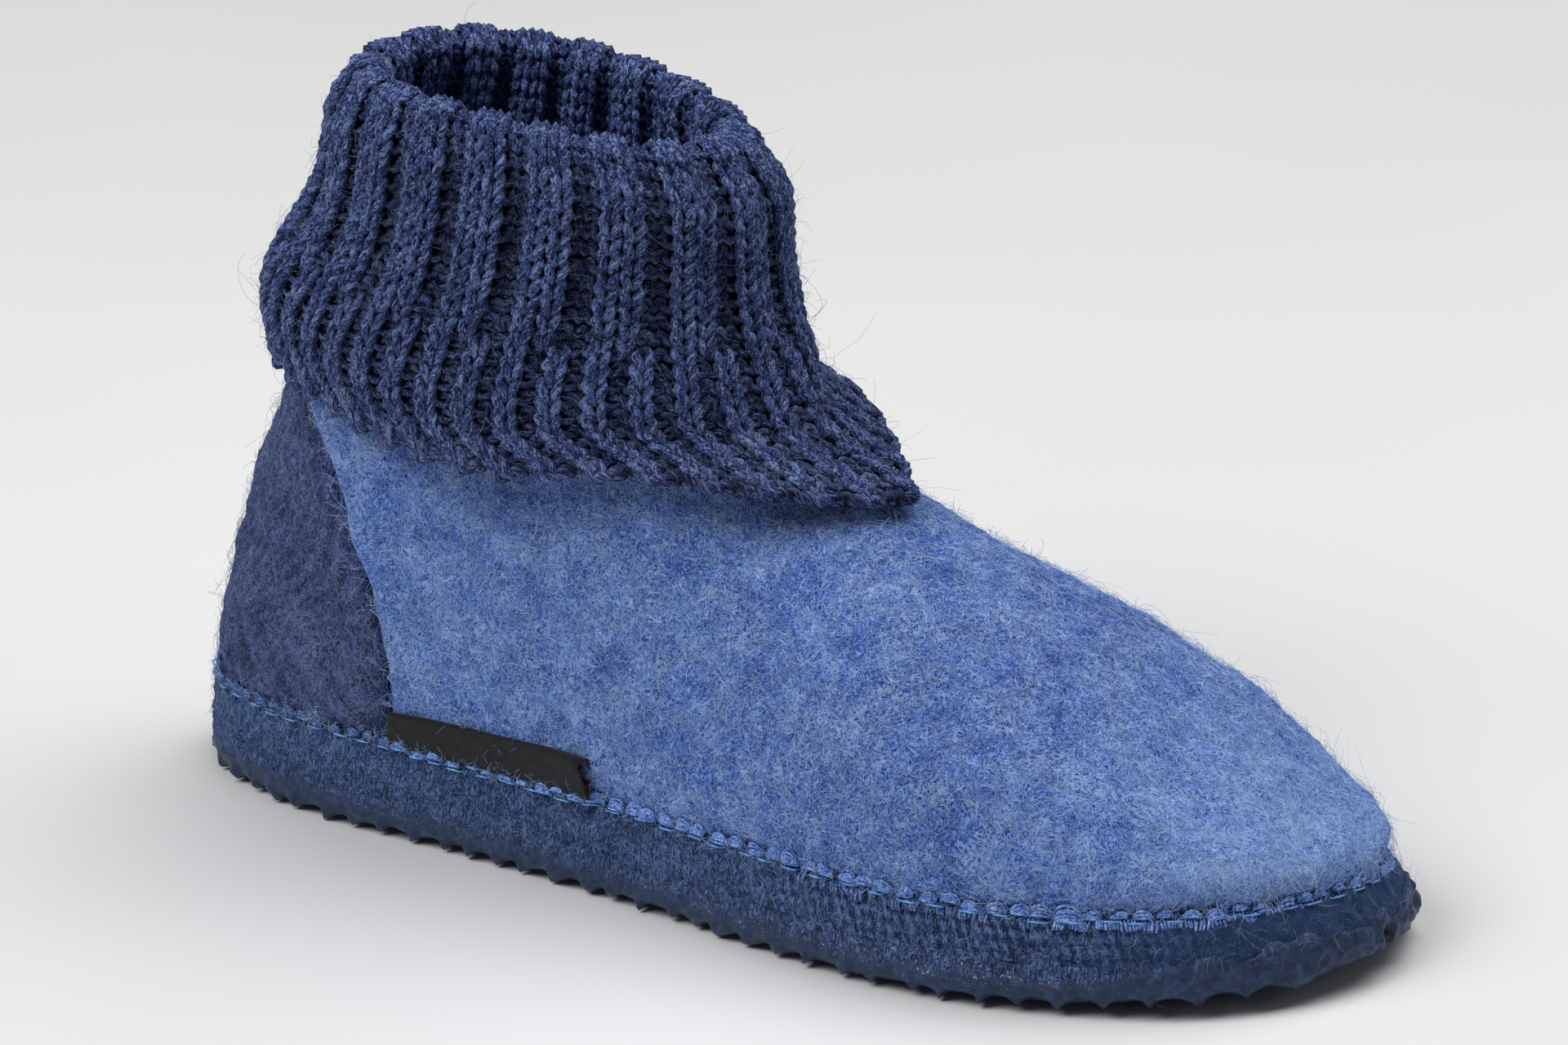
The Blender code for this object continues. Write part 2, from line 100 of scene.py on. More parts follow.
# Height, inset of the sole's wall, further inset at the toe
SOLE_WALL = (
    (0.0000, 0.0012, 0.0000), (0.0014, 0.0002, 0.0000), (0.0040, 0.0000, 0.0000), (0.0090, 0.0004, 0.0005),
    (0.0140, 0.0010, 0.0019), (0.0166, 0.0015, 0.0029), (SEAM_HEIGHT, 0.0022, 0.0040),
)
# Height and x of the upper's back, of its ridge and of the heel panel's edge
HEEL_LINE = (
    (LOWEST, -0.1288), (0.0340, -0.1266), (0.0500, -0.1217), (0.0660, -0.1163), (0.0780, -0.1104),
    (0.0870, -0.1044), (COLLAR_HEIGHT, -0.1004),
)
INSTEP_LINE = (
    (LOWEST, 0.1256), (0.0260, 0.1224), (0.0298, 0.1162), (0.0382, 0.1010), (0.0523, 0.0780),
    (0.0644, 0.0530), (0.0726, 0.0340), (0.0778, 0.0210), (0.0856, 0.0105), (COLLAR_HEIGHT, 0.0030),
    (0.1216, -0.0080), (0.1716, -0.0220),
)
PANEL_EDGE = (
    (0.012, -0.0656), (0.022, -0.0662), (0.040, -0.0684), (0.050, -0.0716), (0.058, -0.0758),
    (0.066, -0.0800), (0.0755, -0.0868), (0.081, -0.0928), (0.087, -0.0965), (0.112, -0.0985),
)
# x and y of the ridge, height and width of the upper against the plan, x and height of the cuff's hem
RIDGE_LINE = (
    (-0.130, 0.0000), (-0.040, 0.0000), (0.030, 0.0010), (0.080, 0.0040), (0.110, 0.0090), (0.124, 0.0130),
)
FULLNESS = ((SEAM_HEIGHT, 1.00), (0.032, 1.02), (0.052, 1.00), (0.077, 0.96), (COLLAR_HEIGHT, 0.905))
HEM_LINE = (
    (-0.110, 0.0926), (-0.100, 0.0914), (-0.085, 0.0897), (-0.072, 0.0878), (-0.055, 0.0853),
    (-0.040, 0.0837), (-0.005, 0.0846), (0.032, 0.0778),
)
# Share of the way from hem or collar to the fold, back, front, half width, point of the front
CUFF_OUTER = (
    (0.00, -0.1069, 0.0334, 0.0384, 1.55),
    (0.10, -0.1073, 0.0156, 0.0390, 1.36),
    (0.20, -0.1074, 0.0096, 0.0390, 1.09),
    (0.30, -0.1050, 0.0060, 0.0384, 1.02),
    (0.40, -0.1010, 0.0024, 0.0376, 0.98),
    (0.52, -0.0960, -0.0002, 0.0364, 0.95),
    (0.65, -0.0918, -0.0014, 0.0354, 0.94),
    (0.80, -0.0897, -0.0016, 0.0346, 0.90),
    (0.92, -0.0885, -0.0022, 0.0338, 0.90),
    (1.00, -0.0856, -0.0060, 0.0324, 0.90),
)
CUFF_INNER = (
    (0.00, -0.0979, 0.0010, 0.0262, 0.75),
    (0.06, -0.0979, 0.0008, 0.0262, 0.75),
    (0.30, -0.0932, -0.0052, 0.0286, 0.95),
    (0.65, -0.0870, -0.0088, 0.0280, 0.95),
    (1.00, -0.0802, -0.0124, 0.0262, 0.90),
)


def curve_at(table, at, column=1):
    """Value of a table's column at a key, on a smooth curve through its rows."""
    keys = np.array([row[0] for row in table], float)
    values = np.array([row[column] for row in table], float)
    slopes = np.gradient(values, keys)
    at = np.clip(np.asarray(at, float), keys[0], keys[-1])
    low = np.clip(np.searchsorted(keys, at) - 1, 0, len(keys) - 2)
    span = keys[low + 1] - keys[low]
    t = (at - keys[low]) / span
    return (
        (1 + 2 * t) * (1 - t) ** 2 * values[low]
        + t * (1 - t) ** 2 * span * slopes[low]
        + t * t * (3 - 2 * t) * values[low + 1]
        + t * t * (t - 1) * span * slopes[low + 1]
    )


def ease(value, start, end):
    """0 before start, 1 after end, smooth between."""
    t = np.clip((np.asarray(value, float) - start) / (end - start), 0.0, 1.0)
    return t * t * (3 - 2 * t)


def swing(start, end, turn):
    """Way from start to end by half a turn, slow at both ends."""
    return start + (end - start) * (1 - np.cos(turn)) / 2


def bump(value, middle, spread):
    """Bell of height 1."""
    return np.exp(-(((value - middle) / spread) ** 2))


def swell(value, height, middle, spread):
    """Bell of a height."""
    return height * bump(value, middle, spread)


def unit(vectors):
    """Vectors of length 1."""
    return vectors / np.maximum(np.linalg.norm(vectors, axis=-1, keepdims=True), 1e-12)


def way_along(points, axis=0):
    """Way along points from the first of them, following an axis of their array."""
    steps = np.linalg.norm(np.diff(points, axis=axis), axis=-1)
    start = np.zeros_like(np.take(steps, [0], axis))
    return np.concatenate([start, np.cumsum(steps, axis=axis)], axis=axis)


def heading(points, axis=0, closed=True):
    """Step from the point before to the point after, along a ring or an open row."""
    if closed:
        return np.roll(points, -1, axis=axis) - np.roll(points, 1, axis=axis)
    return np.gradient(points, axis=axis)


WAVE_TERMS = 26


def waves(points, *fields):
    """Sum of smooth random fields. fields: strength, seed, shortest and longest wave in mm."""
    flat = np.asarray(points, float).reshape(-1, 3)
    total = np.zeros(len(flat))
    for strength, seed, shortest, longest in fields:
        rng = np.random.default_rng(seed)
        ways = unit(rng.normal(size=(WAVE_TERMS, 3)))
        sizes = np.exp(rng.uniform(math.log(shortest * MM), math.log(longest * MM), WAVE_TERMS))
        starts = rng.uniform(0, FULL_TURN, WAVE_TERMS)
        for way, size, start in zip(ways, sizes, starts):
            total += strength * math.sqrt(2 / WAVE_TERMS) * np.sin(flat @ way * (FULL_TURN / size) + start)
    return total.reshape(np.shape(points)[:-1])


# Shape of the sole

OUTLINE_SAMPLES = 960


def toe_lift(x):
    """Rise of the sole towards the toe."""
    reach = SOLE_LENGTH / 2 - TOE_SPRING_START
    return TOE_SPRING * np.clip((np.asarray(x, float) - TOE_SPRING_START) / reach, 0.0, 1.0) ** 2


def seam_drop(x, y):
    """Fall of the sole seam at the toe, more on the inner side."""
    return SEAM_DIP * ease(x, *SEAM_DIP_ALONG) * ease(y, *SEAM_DIP_ACROSS) - TOE_SPRING_AT_SEAM * toe_lift(x)


def lifted(height, x, y):
    """Height of a layer of the sole with the toe spring, which turns to a fall at the seam."""
    share = height / SEAM_HEIGHT
    return height + toe_lift(x) * (1 - share) - seam_drop(x, y) * share


def level_of(points):
    """Height in the sole of points that have the toe spring in them."""
    lift = toe_lift(points[..., 0])
    drop = seam_drop(points[..., 0], points[..., 1])
    return (points[..., 2] - lift) / (1 - (lift + drop) / SEAM_HEIGHT)


def plan_outline():
    """Closed plan outline: heel tip, outer side, toe tip, inner side."""
    half = SOLE_LENGTH / 2
    outer = [(share * SOLE_LENGTH - half, -wide) for share, wide, _ in OUTLINE]
    inner = [(share * SOLE_LENGTH - half, wide) for share, _, wide in OUTLINE]
    loop = [(-half, 0.0), *outer, (half, TOE_TIP_Y), *inner[::-1]]
    overlap = 4
    knots = np.array([*loop[-overlap:], *loop, *loop[: overlap + 1]])
    along = way_along(knots)
    at = np.linspace(along[overlap], along[overlap + len(loop)], OUTLINE_SAMPLES, endpoint=False)
    plan = np.column_stack([curve_at(list(zip(along, knots[:, i])), at) for i in range(2)])
    return plan - (plan.max(axis=0) + plan.min(axis=0)) / 2


PLAN = plan_outline()


def inset_plan(inset, toe_inset=0.0):
    """The plan outline moved inwards, further at the toe, as its outer and inner sides."""
    ahead = heading(PLAN)
    inward = unit(np.column_stack([-ahead[:, 1], ahead[:, 0]]))
    amount = inset + toe_inset * ease(PLAN[:, 0], TOE_INSET_START, SOLE_LENGTH / 2)
    moved = PLAN + inward * amount[:, None]
    heel, toe = int(np.argmin(moved[:, 0])), int(np.argmax(moved[:, 0]))
    moved = np.roll(moved, -heel, axis=0)
    toe = (toe - heel) % len(moved)
    return moved[: toe + 1], np.vstack([moved[toe:], moved[:1]])[::-1]


def plan_sides(sides, turn):
    """x by half a turn from heel to toe, and y of the outer and inner sides there."""
    outer, inner = sides
    x = swing(outer[0, 0], outer[-1, 0], turn)
    return x, np.interp(x, outer[:, 0], outer[:, 1]), np.interp(x, inner[:, 0], inner[:, 1])


# Materials; places and sizes in them are in mm

ORIGIN = (0, 0, 0)


class Wire:
    """Output of a shader node; sums on it make further nodes."""

    def __init__(self, look, socket):
        self.look, self.socket = look, socket

    def maths(self, operation, other=0.0):
        return self.look.node("Math", {0: self, 1: other}, operation=operation)

    def __add__(self, other):
        return self.maths("ADD", other)

    def __sub__(self, other):
        return self.maths("SUBTRACT", other)

    def __mul__(self, other):
        return self.maths("MULTIPLY", other)

    def wave(self, pitch):
        """Sine of the value, one wave to a pitch."""
        return (self * (FULL_TURN / pitch)).maths("SINE")

    def near(self, middle, width):
        """1 where the value is at the middle, falling to 0 at a width from it."""
        return (self - middle).maths("ABSOLUTE").step(0.0, width, 1.0, 0.0)

    def step(self, low, high, to_low=0.0, to_high=1.0):
        """Value carried from one range to another, held at its ends."""
        return self.look.node("MapRange", {0: self, 1: low, 2: high, 3: to_low, 4: to_high}, clamp=True)

    def axis(self, number):
        """One part of a vector."""
        return self.look.node("SeparateXYZ", {0: self}, number)


class Look:
    """Procedural material: its methods add shader nodes, and finish joins them to the surface."""

    def __init__(self, name):
        self.material = bpy.data.materials.new(name)
        self.material.use_nodes = True
        self.tree = self.material.node_tree
        self.tree.nodes.clear()

    def node(self, kind, inputs=(), output=0, **settings):
        """Shader node with its settings, and its inputs linked or set."""
        made = self.tree.nodes.new("ShaderNode" + kind)
        for key, value in settings.items():
            setattr(made, key, value)
        for key, value in dict(inputs).items():
            socket = made.inputs[key]
            if isinstance(value, Wire):
                self.tree.links.new(value.socket, socket)
            else:
                socket.default_value = (*value, 1.0) if socket.type == "RGBA" else value
        return Wire(self, made.outputs[output])

    def place(self, offset=ORIGIN):
        """Place on the piece, moved by an offset."""
        where = self.node("TexCoord", output="Object")
        return self.node("Mapping", {"Vector": where, "Location": offset, "Scale": (1 / MM,) * 3})

    def attribute(self, name, output="Fac"):
        return self.node("Attribute", output=output, attribute_name=name)

    def noise(self, where, scale, detail=2.0, roughness=0.5, distortion=0.0):
        """Noise value at a wire's places, or at the piece's own places moved by an offset."""
        where = where if isinstance(where, Wire) else self.place(where)
        inputs = {"Vector": where, "Scale": scale, "Detail": detail}
        return self.node("TexNoise", {**inputs, "Roughness": roughness, "Distortion": distortion})

    def ramp(self, value, stops):
        """Colour by value."""
        made = self.node("ValToRGB", {0: value})
        elements = made.socket.node.color_ramp.elements
        while len(elements) < len(stops):
            elements.new(1.0)
        for element, (place, colour) in zip(elements, stops):
            element.position = place
            element.color = (*colour, 1.0)
        return made

    def mix(self, share, first, second, blend="MIX"):
        """Two colours mixed."""
        return self.node("MixRGB", {"Fac": share, "Color1": first, "Color2": second}, blend_type=blend)

    def curls(self, scale, offset, width):
        """Thin winding lines, as of stray fibres: 1 on a line, 0 away from it."""
        return self.noise(offset, scale, 1.0, 0.5, 0.9).near(0.5, width)

    def laid(self, offset, turn, long=3.4, thin=0.36, wind=8.0):
        """Streaks of fibres along a direction that winds about."""
        where = self.place(offset)
        winding = self.node("TexNoise", {"Vector": where, "Scale": 0.17, "Detail": 1.0}, "Color")
        moved = self.node("VectorMath", {0: winding, 1: (wind,) * 3, 2: where}, operation="MULTIPLY_ADD")
        sizes = {"Vector": moved, "Rotation": turn, "Scale": (long, thin, thin)}
        return self.noise(self.node("Mapping", sizes, vector_type="TEXTURE"), 1.0, 2.0, 0.65)

    def finish(self, colour, roughness, specular, height=None, depth=0.0, sheen=None):
        """Joins colour, roughness and bump to the surface. sheen: weight, roughness, tint."""
        inputs = {"Base Color": colour, "Roughness": roughness, "Specular IOR Level": specular}
        if height is not None:
            inputs["Normal"] = self.node("Bump", {"Height": height, "Distance": depth, "Strength": 1.0})
        if sheen is not None:
            inputs.update(zip(("Sheen Weight", "Sheen Roughness", "Sheen Tint"), sheen))
        surface = self.node("BsdfPrincipled", inputs)
        output = self.tree.nodes.new("ShaderNodeOutputMaterial")
        self.tree.links.new(surface.socket, output.inputs["Surface"])
        return self.material


# Ways in which the felt's fibres lie, as turns about the axes
LAYS = ((0.0, 0.3, 0.3), (0.0, -0.9, -0.3), (0.0, 1.35, 0.2), (0.0, -0.2, -0.9))
# Winding pale fibres on the felt: scale, offset, width
FELT_CURLS = ((0.58, (31, 5, 9), 0.040), (0.90, (3, 47, 21), 0.048), (1.30, (61, 7, 2), 0.055))
# Stretches along the shoe of painted shade over the vamp and of painted light at the toe, on the light felt
VAMP_PAINTED_SHADE = (-40.0, 40.0)
TOE_PAINTED_LIGHT = (74.0, 118.0)
SOLE_COURSES = (2.3, 2.6)
WEAVE_PITCHES = (0.42, 0.30)
LATEX_TONES = ((0.34, (0.007, 0.017, 0.050)), (0.52, (0.016, 0.036, 0.096)), (0.70, (0.038, 0.073, 0.168)))
SOLE_TONES = ((0.40, (0.005, 0.012, 0.045)), (0.50, (0.030, 0.062, 0.172)), (0.60, (0.130, 0.212, 0.440)))
PALE_SPECK = (0.40, 0.43, 0.48)
# Painted shade in the cut pit at the toe
PIT_PAINTED_SHADE = (0.002, 0.003, 0.006)


def matted_fibres(look):
    """Patches of fibres that lie in several ways, over one another."""
    mat = look.laid(ORIGIN, LAYS[0])
    for number, lay in enumerate(LAYS[1:], 1):
        offset = (13.0 * number, 41.0 - 7.0 * number, 5.0 * number)
        cover = look.noise(offset, 0.45, 1.0).step(0.45, 0.55)
        mat = mat + (look.laid(offset, lay) - mat) * cover
    return mat


def felt_look(name, stops, haze, haze_share, rib=None, toe=None):
    """Boiled wool: patches, matted fibres, painted shade in the gaps between fibres, pale winding fibres; rib
    shifts its tone, toe paints shade over the vamp and light at the toe.
    """
    look = Look(name)
    patch = look.noise(ORIGIN, 0.15, 3.0, 0.55, 0.6)
    grain = matted_fibres(look)
    fine = look.noise((4, 70, 33), 2.3, 2.0, 0.6, 1.6)
    tone = patch * 0.18 + grain * 0.62 + fine * 0.20
    if rib is not None:
        tone = tone + look.attribute("ribs") * rib
    # Painted shade over the vamp and painted light at the toe
    if toe is not None:
        along = look.place().axis(0)
        tone = tone + along.step(*VAMP_PAINTED_SHADE, 0.0, -0.5 * toe) + along.step(*TOE_PAINTED_LIGHT, 0.0, 1.8 * toe)
    # Painted shade in the gaps between the felt's fibres
    fibre_gap_shade = look.curls(0.95, (17, 29, 3), 0.050)
    colour = look.mix(fibre_gap_shade * 0.55, look.ramp(tone, stops), stops[0][1])
    lines = look.curls(0.36, ORIGIN, 0.032)
    for curl in FELT_CURLS:
        lines = lines.maths("MAXIMUM", look.curls(*curl))
    thick = look.noise((9, 80, 2), 0.11, 2.0).step(0.35, 0.65, 0.30, 1.0)
    colour = look.mix(lines * thick * haze_share, colour, haze)
    relief = grain * 1.1 + lines * 0.25 + fine * 0.4
    return look.finish(colour, 0.95, 0.10, relief, 0.7 * MM, (0.10, 0.42, haze))


def yarn_look(name, stops, fleck, tint):
    """Wool yarn: fibre streaks that run round it with the twist, paler flecks, painted shade in the gaps
    between strands and deep in the knit, painted light on the courses inside the fold.
    """
    look = Look(name)
    yarn, deep = look.attribute("yarn", "Vector"), look.attribute("deep")
    streak = look.noise(yarn, 1.0, 2.5, 0.6, 0.3)
    heather = look.noise(ORIGIN, 0.22, 3.0, 0.6, 0.4)
    fine = look.noise(yarn, 2.7, 2.0, 0.6, 0.2)
    # Painted shade in the thin gaps between the yarn's strands
    strand_gap_shade = look.noise(yarn, 1.5, 1.0, 0.5, 0.2).near(0.5, 0.055)
    warm = look.noise(yarn, 0.55, 1.0).step(0.50, 0.60, 0.0, 0.7)
    colour = look.ramp(streak * 0.80 + heather * 0.20, stops)
    colour = look.mix(fine.step(0.58, 0.70, 0.0, 0.45), colour, fleck)
    colour = look.mix(strand_gap_shade * 0.75, colour, stops[0][1])
    colour = look.mix(warm, colour, (1.20, 1.02, 0.82), "MULTIPLY")
    # Painted shade where the yarn lies deep in the knit, and painted light on the courses inside the fold
    shade = deep.step(0.18, 0.86, 0.09, 1.0) * deep.step(1.0, 2.0, 1.0, 1.5)
    shaded = look.node("CombineColor", {i: shade for i in range(3)})
    colour = look.mix(1.0, colour, shaded, "MULTIPLY")
    return look.finish(colour, 0.85, 0.15, streak + fine * 0.5, 0.9 * MM, (0.03, 0.4, tint))


def soaked_felt(look):
    """Tone and grain that the felt wall and the latex soaked into it share."""
    upright = look.laid((5, 1, 60), (0.0, math.pi / 2, 0.0), 1.3, 0.32, 2.2)
    level = look.laid((31, 9, 4), (0.0, 0.0, 0.25), 1.6, 0.30, 2.2)
    cover = look.noise((2, 50, 8), 0.75, 1.0).step(0.48, 0.62, 0.0, 0.85)
    grain = upright + (level - upright) * cover
    return grain * 0.76 + look.noise((15, 1, 6), 0.30, 3.0, 0.6, 0.6) * 0.24, grain


def sole_felt_look(fibre, tint):
    """Dark felted knit of the sole's wall: short courses towards the front, a latex coat at the toe."""
    look = Look("sole_felt_look")
    seam = look.attribute("seam", "Vector")
    wander = look.noise(ORIGIN, 0.30, 2.0) * 2.4
    bars, rows = ((seam.axis(i) + wander).wave(pitch) for i, pitch in enumerate(SOLE_COURSES))
    knit = (bars + rows * 0.6) * seam.axis(2)
    tone, grain = soaked_felt(look)
    colour = look.ramp(tone + knit * 0.045, SOLE_TONES)
    colour = look.mix(look.curls(0.45, (12, 3, 7), 0.022) * 0.40, colour, fibre)
    coat = look.place().axis(0) + look.noise(ORIGIN, 0.25, 3.0) * 24.0 - seam.axis(1) * 0.9
    coat = coat.step(88.0, 112.0, 0.0, 0.8)
    colour = look.mix(coat, colour, LATEX_TONES[1][1])
    relief = (grain + knit * 0.30) * (coat * -0.7 + 1.0)
    return look.finish(colour, 0.92, 0.15, relief, 0.8 * MM, (0.10, 0.5, tint))


def latex_look():
    """Petrol latex: satin at the foot, rough and felt-like where it soaked up the wall, with pale specks and
    painted shade in the cut pit.
    """
    look = Look("latex_look")
    seam = look.attribute("seam", "Vector")
    level = seam.axis(1) + look.noise((3, 9, 31), 0.35, 3.0) * 6.0
    level = level - look.place().axis(0).step(96.0, 120.0, 0.0, 6.5)
    soaked = level.step(7.5, 11.0)
    tone, grain = soaked_felt(look)
    patch = look.noise((8, 21, 5), 0.45, 5.0, 0.65, 0.5)
    colour = look.mix(soaked, look.ramp(patch, LATEX_TONES), look.ramp(tone, SOLE_TONES))
    specks = look.noise((70, 2, 9), 1.5, 2.0, 0.5, 0.6).step(0.645, 0.70)
    specks = specks * (level.step(6.5, 9.0) * level.step(11.0, 14.0, 1.0, 0.2))
    colour = look.mix(specks * seam.axis(2).maths("MAXIMUM"), colour, PALE_SPECK)
    # Painted shade in the cut pit
    colour = look.mix(seam.axis(2).step(-0.6, -0.2, 0.95, 0.0), colour, PIT_PAINTED_SHADE)
    relief = grain * soaked.step(0.0, 1.0, 0.25, 1.0) + patch * 0.5
    return look.finish(colour, soaked.step(0.0, 1.0, 0.34, 0.85), 0.35, relief, 0.9 * MM)


def ribbon_look(name, dark, light):
    """Woven ribbon: fine cross ribs."""
    look = Look(name)
    weave = look.attribute("weave", "Vector")
    ribs, rows = (weave.axis(i).wave(pitch) for i, pitch in enumerate(WEAVE_PITCHES))
    threads = ribs * rows
    colour = look.ramp(look.noise(ORIGIN, 0.5, 3.0) + threads * 0.12, ((0.35, dark), (0.75, light)))
    return look.finish(colour, 0.62, 0.3, threads, 0.08 * MM, (0.08, 0.3, (1.0, 1.0, 1.0)))


def stitch_look(name, dark, middle, light):
    """Woolly sewing yarn."""
    look = Look(name)
    tone = look.noise(ORIGIN, 1.6, 3.0, 0.65, 0.8)
    colour = look.ramp(tone, ((0.36, dark), (0.50, middle), (0.64, light)))
    return look.finish(colour, 0.9, 0.1, tone, 0.25 * MM, (0.10,))


def plain_look(name, scale, detail, stops, roughness, specular):
    """Smooth material, lighter and darker by place."""
    look = Look(name)
    return look.finish(look.ramp(look.noise(ORIGIN, scale, detail), stops), roughness, specular)


def fibre_look(name, dark, light):
    """Loose wool fibres."""
    return plain_look(name, 0.35, 1.0, ((0.35, dark), (0.65, light)), 0.6, 0.3)


# Meshes


def grid_triangles(rows, columns, closed=False):
    """Triangles of a grid of points, row by row, that may close on itself along its rows."""
    last = columns if closed else columns - 1
    row, column = np.meshgrid(np.arange(rows - 1), np.arange(last), indexing="ij")
    a, b = row * columns + column, row * columns + (column + 1) % columns
    c, d = a + columns, b + columns
    return np.vstack([np.stack(corners, axis=-1).reshape(-1, 3) for corners in ((a, b, d), (a, d, c))])


def add_piece(name, points, triangles, materials, slot, replaced=(), **attributes):
    """New piece on the part's one body, smooth, with its materials and its point attributes."""
    mesh = bpy.data.meshes.new(name)
    mesh.from_pydata(np.asarray(points).reshape(-1, 3).tolist(), [], triangles.tolist())
    mesh.polygons.foreach_set("use_smooth", np.ones(len(mesh.polygons), bool))
    for key, values in attributes.items():
        values = np.asarray(values, np.float32)
        wide = values.shape[-1] == 3
        made = mesh.attributes.new(key, "FLOAT_VECTOR" if wide else "FLOAT", "POINT")
        made.data.foreach_set("vector" if wide else "value", values.ravel())
    for material in materials if isinstance(materials, (list, tuple)) else [materials]:
        mesh.materials.append(material)
    mesh.update()
    piece = bpy.data.objects.new(name, mesh)
    bpy.context.scene.collection.objects.link(piece)
    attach(piece, "root")
    if replaced:
        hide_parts(*replaced)
    return piece


def thicken(piece, thickness, offset=-1.0):
    """Gives a sheet its wall."""
    wall = piece.modifiers.new("wall", "SOLIDIFY")
    wall.thickness = thickness
    wall.offset = offset
    return wall


def tubes(paths, radii, sides, upwards, closed=False):
    """Closed tubes along many paths: points, triangles, and the way round of each point."""
    count, length = paths.shape[:2]
    ahead = unit(heading(paths, 1, closed))
    aside = unit(np.cross(ahead, upwards))
    above = np.cross(aside, ahead)
    round_ = np.arange(sides) * (FULL_TURN / sides)
    radii = np.broadcast_to(radii, (count, length))[..., None, None]
    ring = aside[:, :, None] * np.cos(round_)[:, None] + above[:, :, None] * np.sin(round_)[:, None]
    points = paths[:, :, None] + ring * radii
    base = (np.arange(count) * length * sides)[:, None, None, None]
    step = np.arange(length if closed else length - 1)[None, :, None, None]
    side = np.arange(sides)[None, None, :, None]
    after, beside = (step + 1) % length, (side + 1) % sides
    a, b = base + step * sides + side, base + step * sides + beside
    c, d = base + after * sides + side, base + after * sides + beside
    triangles = [np.concatenate(corners, axis=-1).reshape(-1, 3) for corners in ((a, d, b), (a, c, d))]
    if not closed:
        start = base[:, 0, 0]
        end = start + (length - 1) * sides
        for i in range(1, sides - 1):
            triangles.append(np.concatenate([start, start + i, start + i + 1], axis=-1))
            triangles.append(np.concatenate([end, end + i + 1, end + i], axis=-1))
    turned = np.broadcast_to(round_, (count, length, sides))
    return points.reshape(-1, 3), np.vstack(triangles), turned


def grid_normals(points, closed=False):
    """Outward normals of a grid of points."""
    return unit(np.cross(heading(points, 1, closed), np.gradient(points, axis=0)))


def scatter(points, normals, count, rng, keep=None):
    """Random places on a grid of points, even by area, with their normals."""
    corner = points[:-1, :-1]
    area = np.linalg.norm(np.cross(points[1:, :-1] - corner, points[:-1, 1:] - corner), axis=-1)
    if keep is not None:
        area = area * keep(corner)
    chosen = rng.choice(area.size, count, p=area.ravel() / area.sum())
    row, column = np.unravel_index(chosen, area.shape)
    s, t = rng.random((2, count, 1))

    def within(values):
        low = values[row, column] * (1 - t) + values[row, column + 1] * t
        high = values[row + 1, column] * (1 - t) + values[row + 1, column + 1] * t
        return low * (1 - s) + high * s

    return within(points), unit(within(normals))


FIBRE_STEPS = 3
HAIR_STEPS = 9
FIBRE_ROOT = 0.15 * MM
STANDING = 0.4


def fibres(name, roots, normals, sizes, material, slot, rng, steps=FIBRE_STEPS):
    """Curled loose fibres on a surface. sizes: length, its spread, lift, curl, radius; lengths in mm."""
    length, spread, lift, curl, radius = sizes
    count = len(roots)
    ahead = rng.normal(size=(count, 3))
    ahead = unit(ahead - (ahead * normals).sum(1)[:, None] * normals)
    across = np.cross(normals, ahead)
    length = length * MM * np.exp(rng.normal(0, spread, count))
    bend = rng.normal(0, curl, count)
    lift = lift * MM * rng.gamma(1.6, 0.6, count)
    stands = rng.random(count) < STANDING
    place = np.zeros((count, 2))
    path = [roots - normals * FIBRE_ROOT]
    for step in range(1, steps + 1):
        share = step / steps
        angle = bend * (share - 0.5 / steps)
        place = place + np.column_stack([np.cos(angle), np.sin(angle)]) * (length / steps)[:, None]
        rise = lift * np.where(stands, share**1.3, math.sin(math.pi * share) * 0.8)
        path.append(roots + ahead * place[:, :1] + across * place[:, 1:] + normals * rise[:, None])
    taper = radius * MM * np.linspace(1.0, 0.55, steps + 1)
    points, triangles, _ = tubes(np.stack(path, axis=1), taper, 3, normals[:, None])
    add_piece(name, points, triangles, material, slot)


# Upper and heel panel

SEAM_SIDES = inset_plan(*SOLE_WALL[-1][1:])
SEAM_OUTER = SEAM_SIDES[0]
INSTEP_HEIGHTS = np.linspace(INSTEP_LINE[0][0], INSTEP_LINE[-1][0], 480)
INSTEP_FRONTS = np.minimum.accumulate(curve_at(INSTEP_LINE, INSTEP_HEIGHTS))
UPPER_HEIGHTS = SEAM_HEIGHT + (COLLAR_HEIGHT - SEAM_HEIGHT) * np.linspace(0, 1, 50) ** 1.12
FRONT_COLUMNS = 229
HEEL_COLUMNS = 77
EDGE_GAP_TURN = 0.0015
PANEL_CORE = 1.4 * MM
HEEL_RIB_PITCH = 3.4 * MM
HEEL_RIB_DEPTH = 0.10 * MM
# Depth and width of the sink along the panel seam
UPPER_SINK = (1.5 * MM, 1.3 * MM)
HEEL_SINK = (2.3 * MM, 2.2 * MM)
# Height or depth, middle and width of the felt's puff and sink by the sole seam, and of its puff by the panel
SOLE_PUFF = (0.7 * MM, 6 * MM, 4 * MM)
SOLE_SINK = (0.9 * MM, 0.0, 1.8 * MM)
PANEL_PUFF = (0.40 * MM, 4.5 * MM, 2.5 * MM)
DENT_START = (0.002, 0.012)
HIDDEN_FIBRES = 0.02
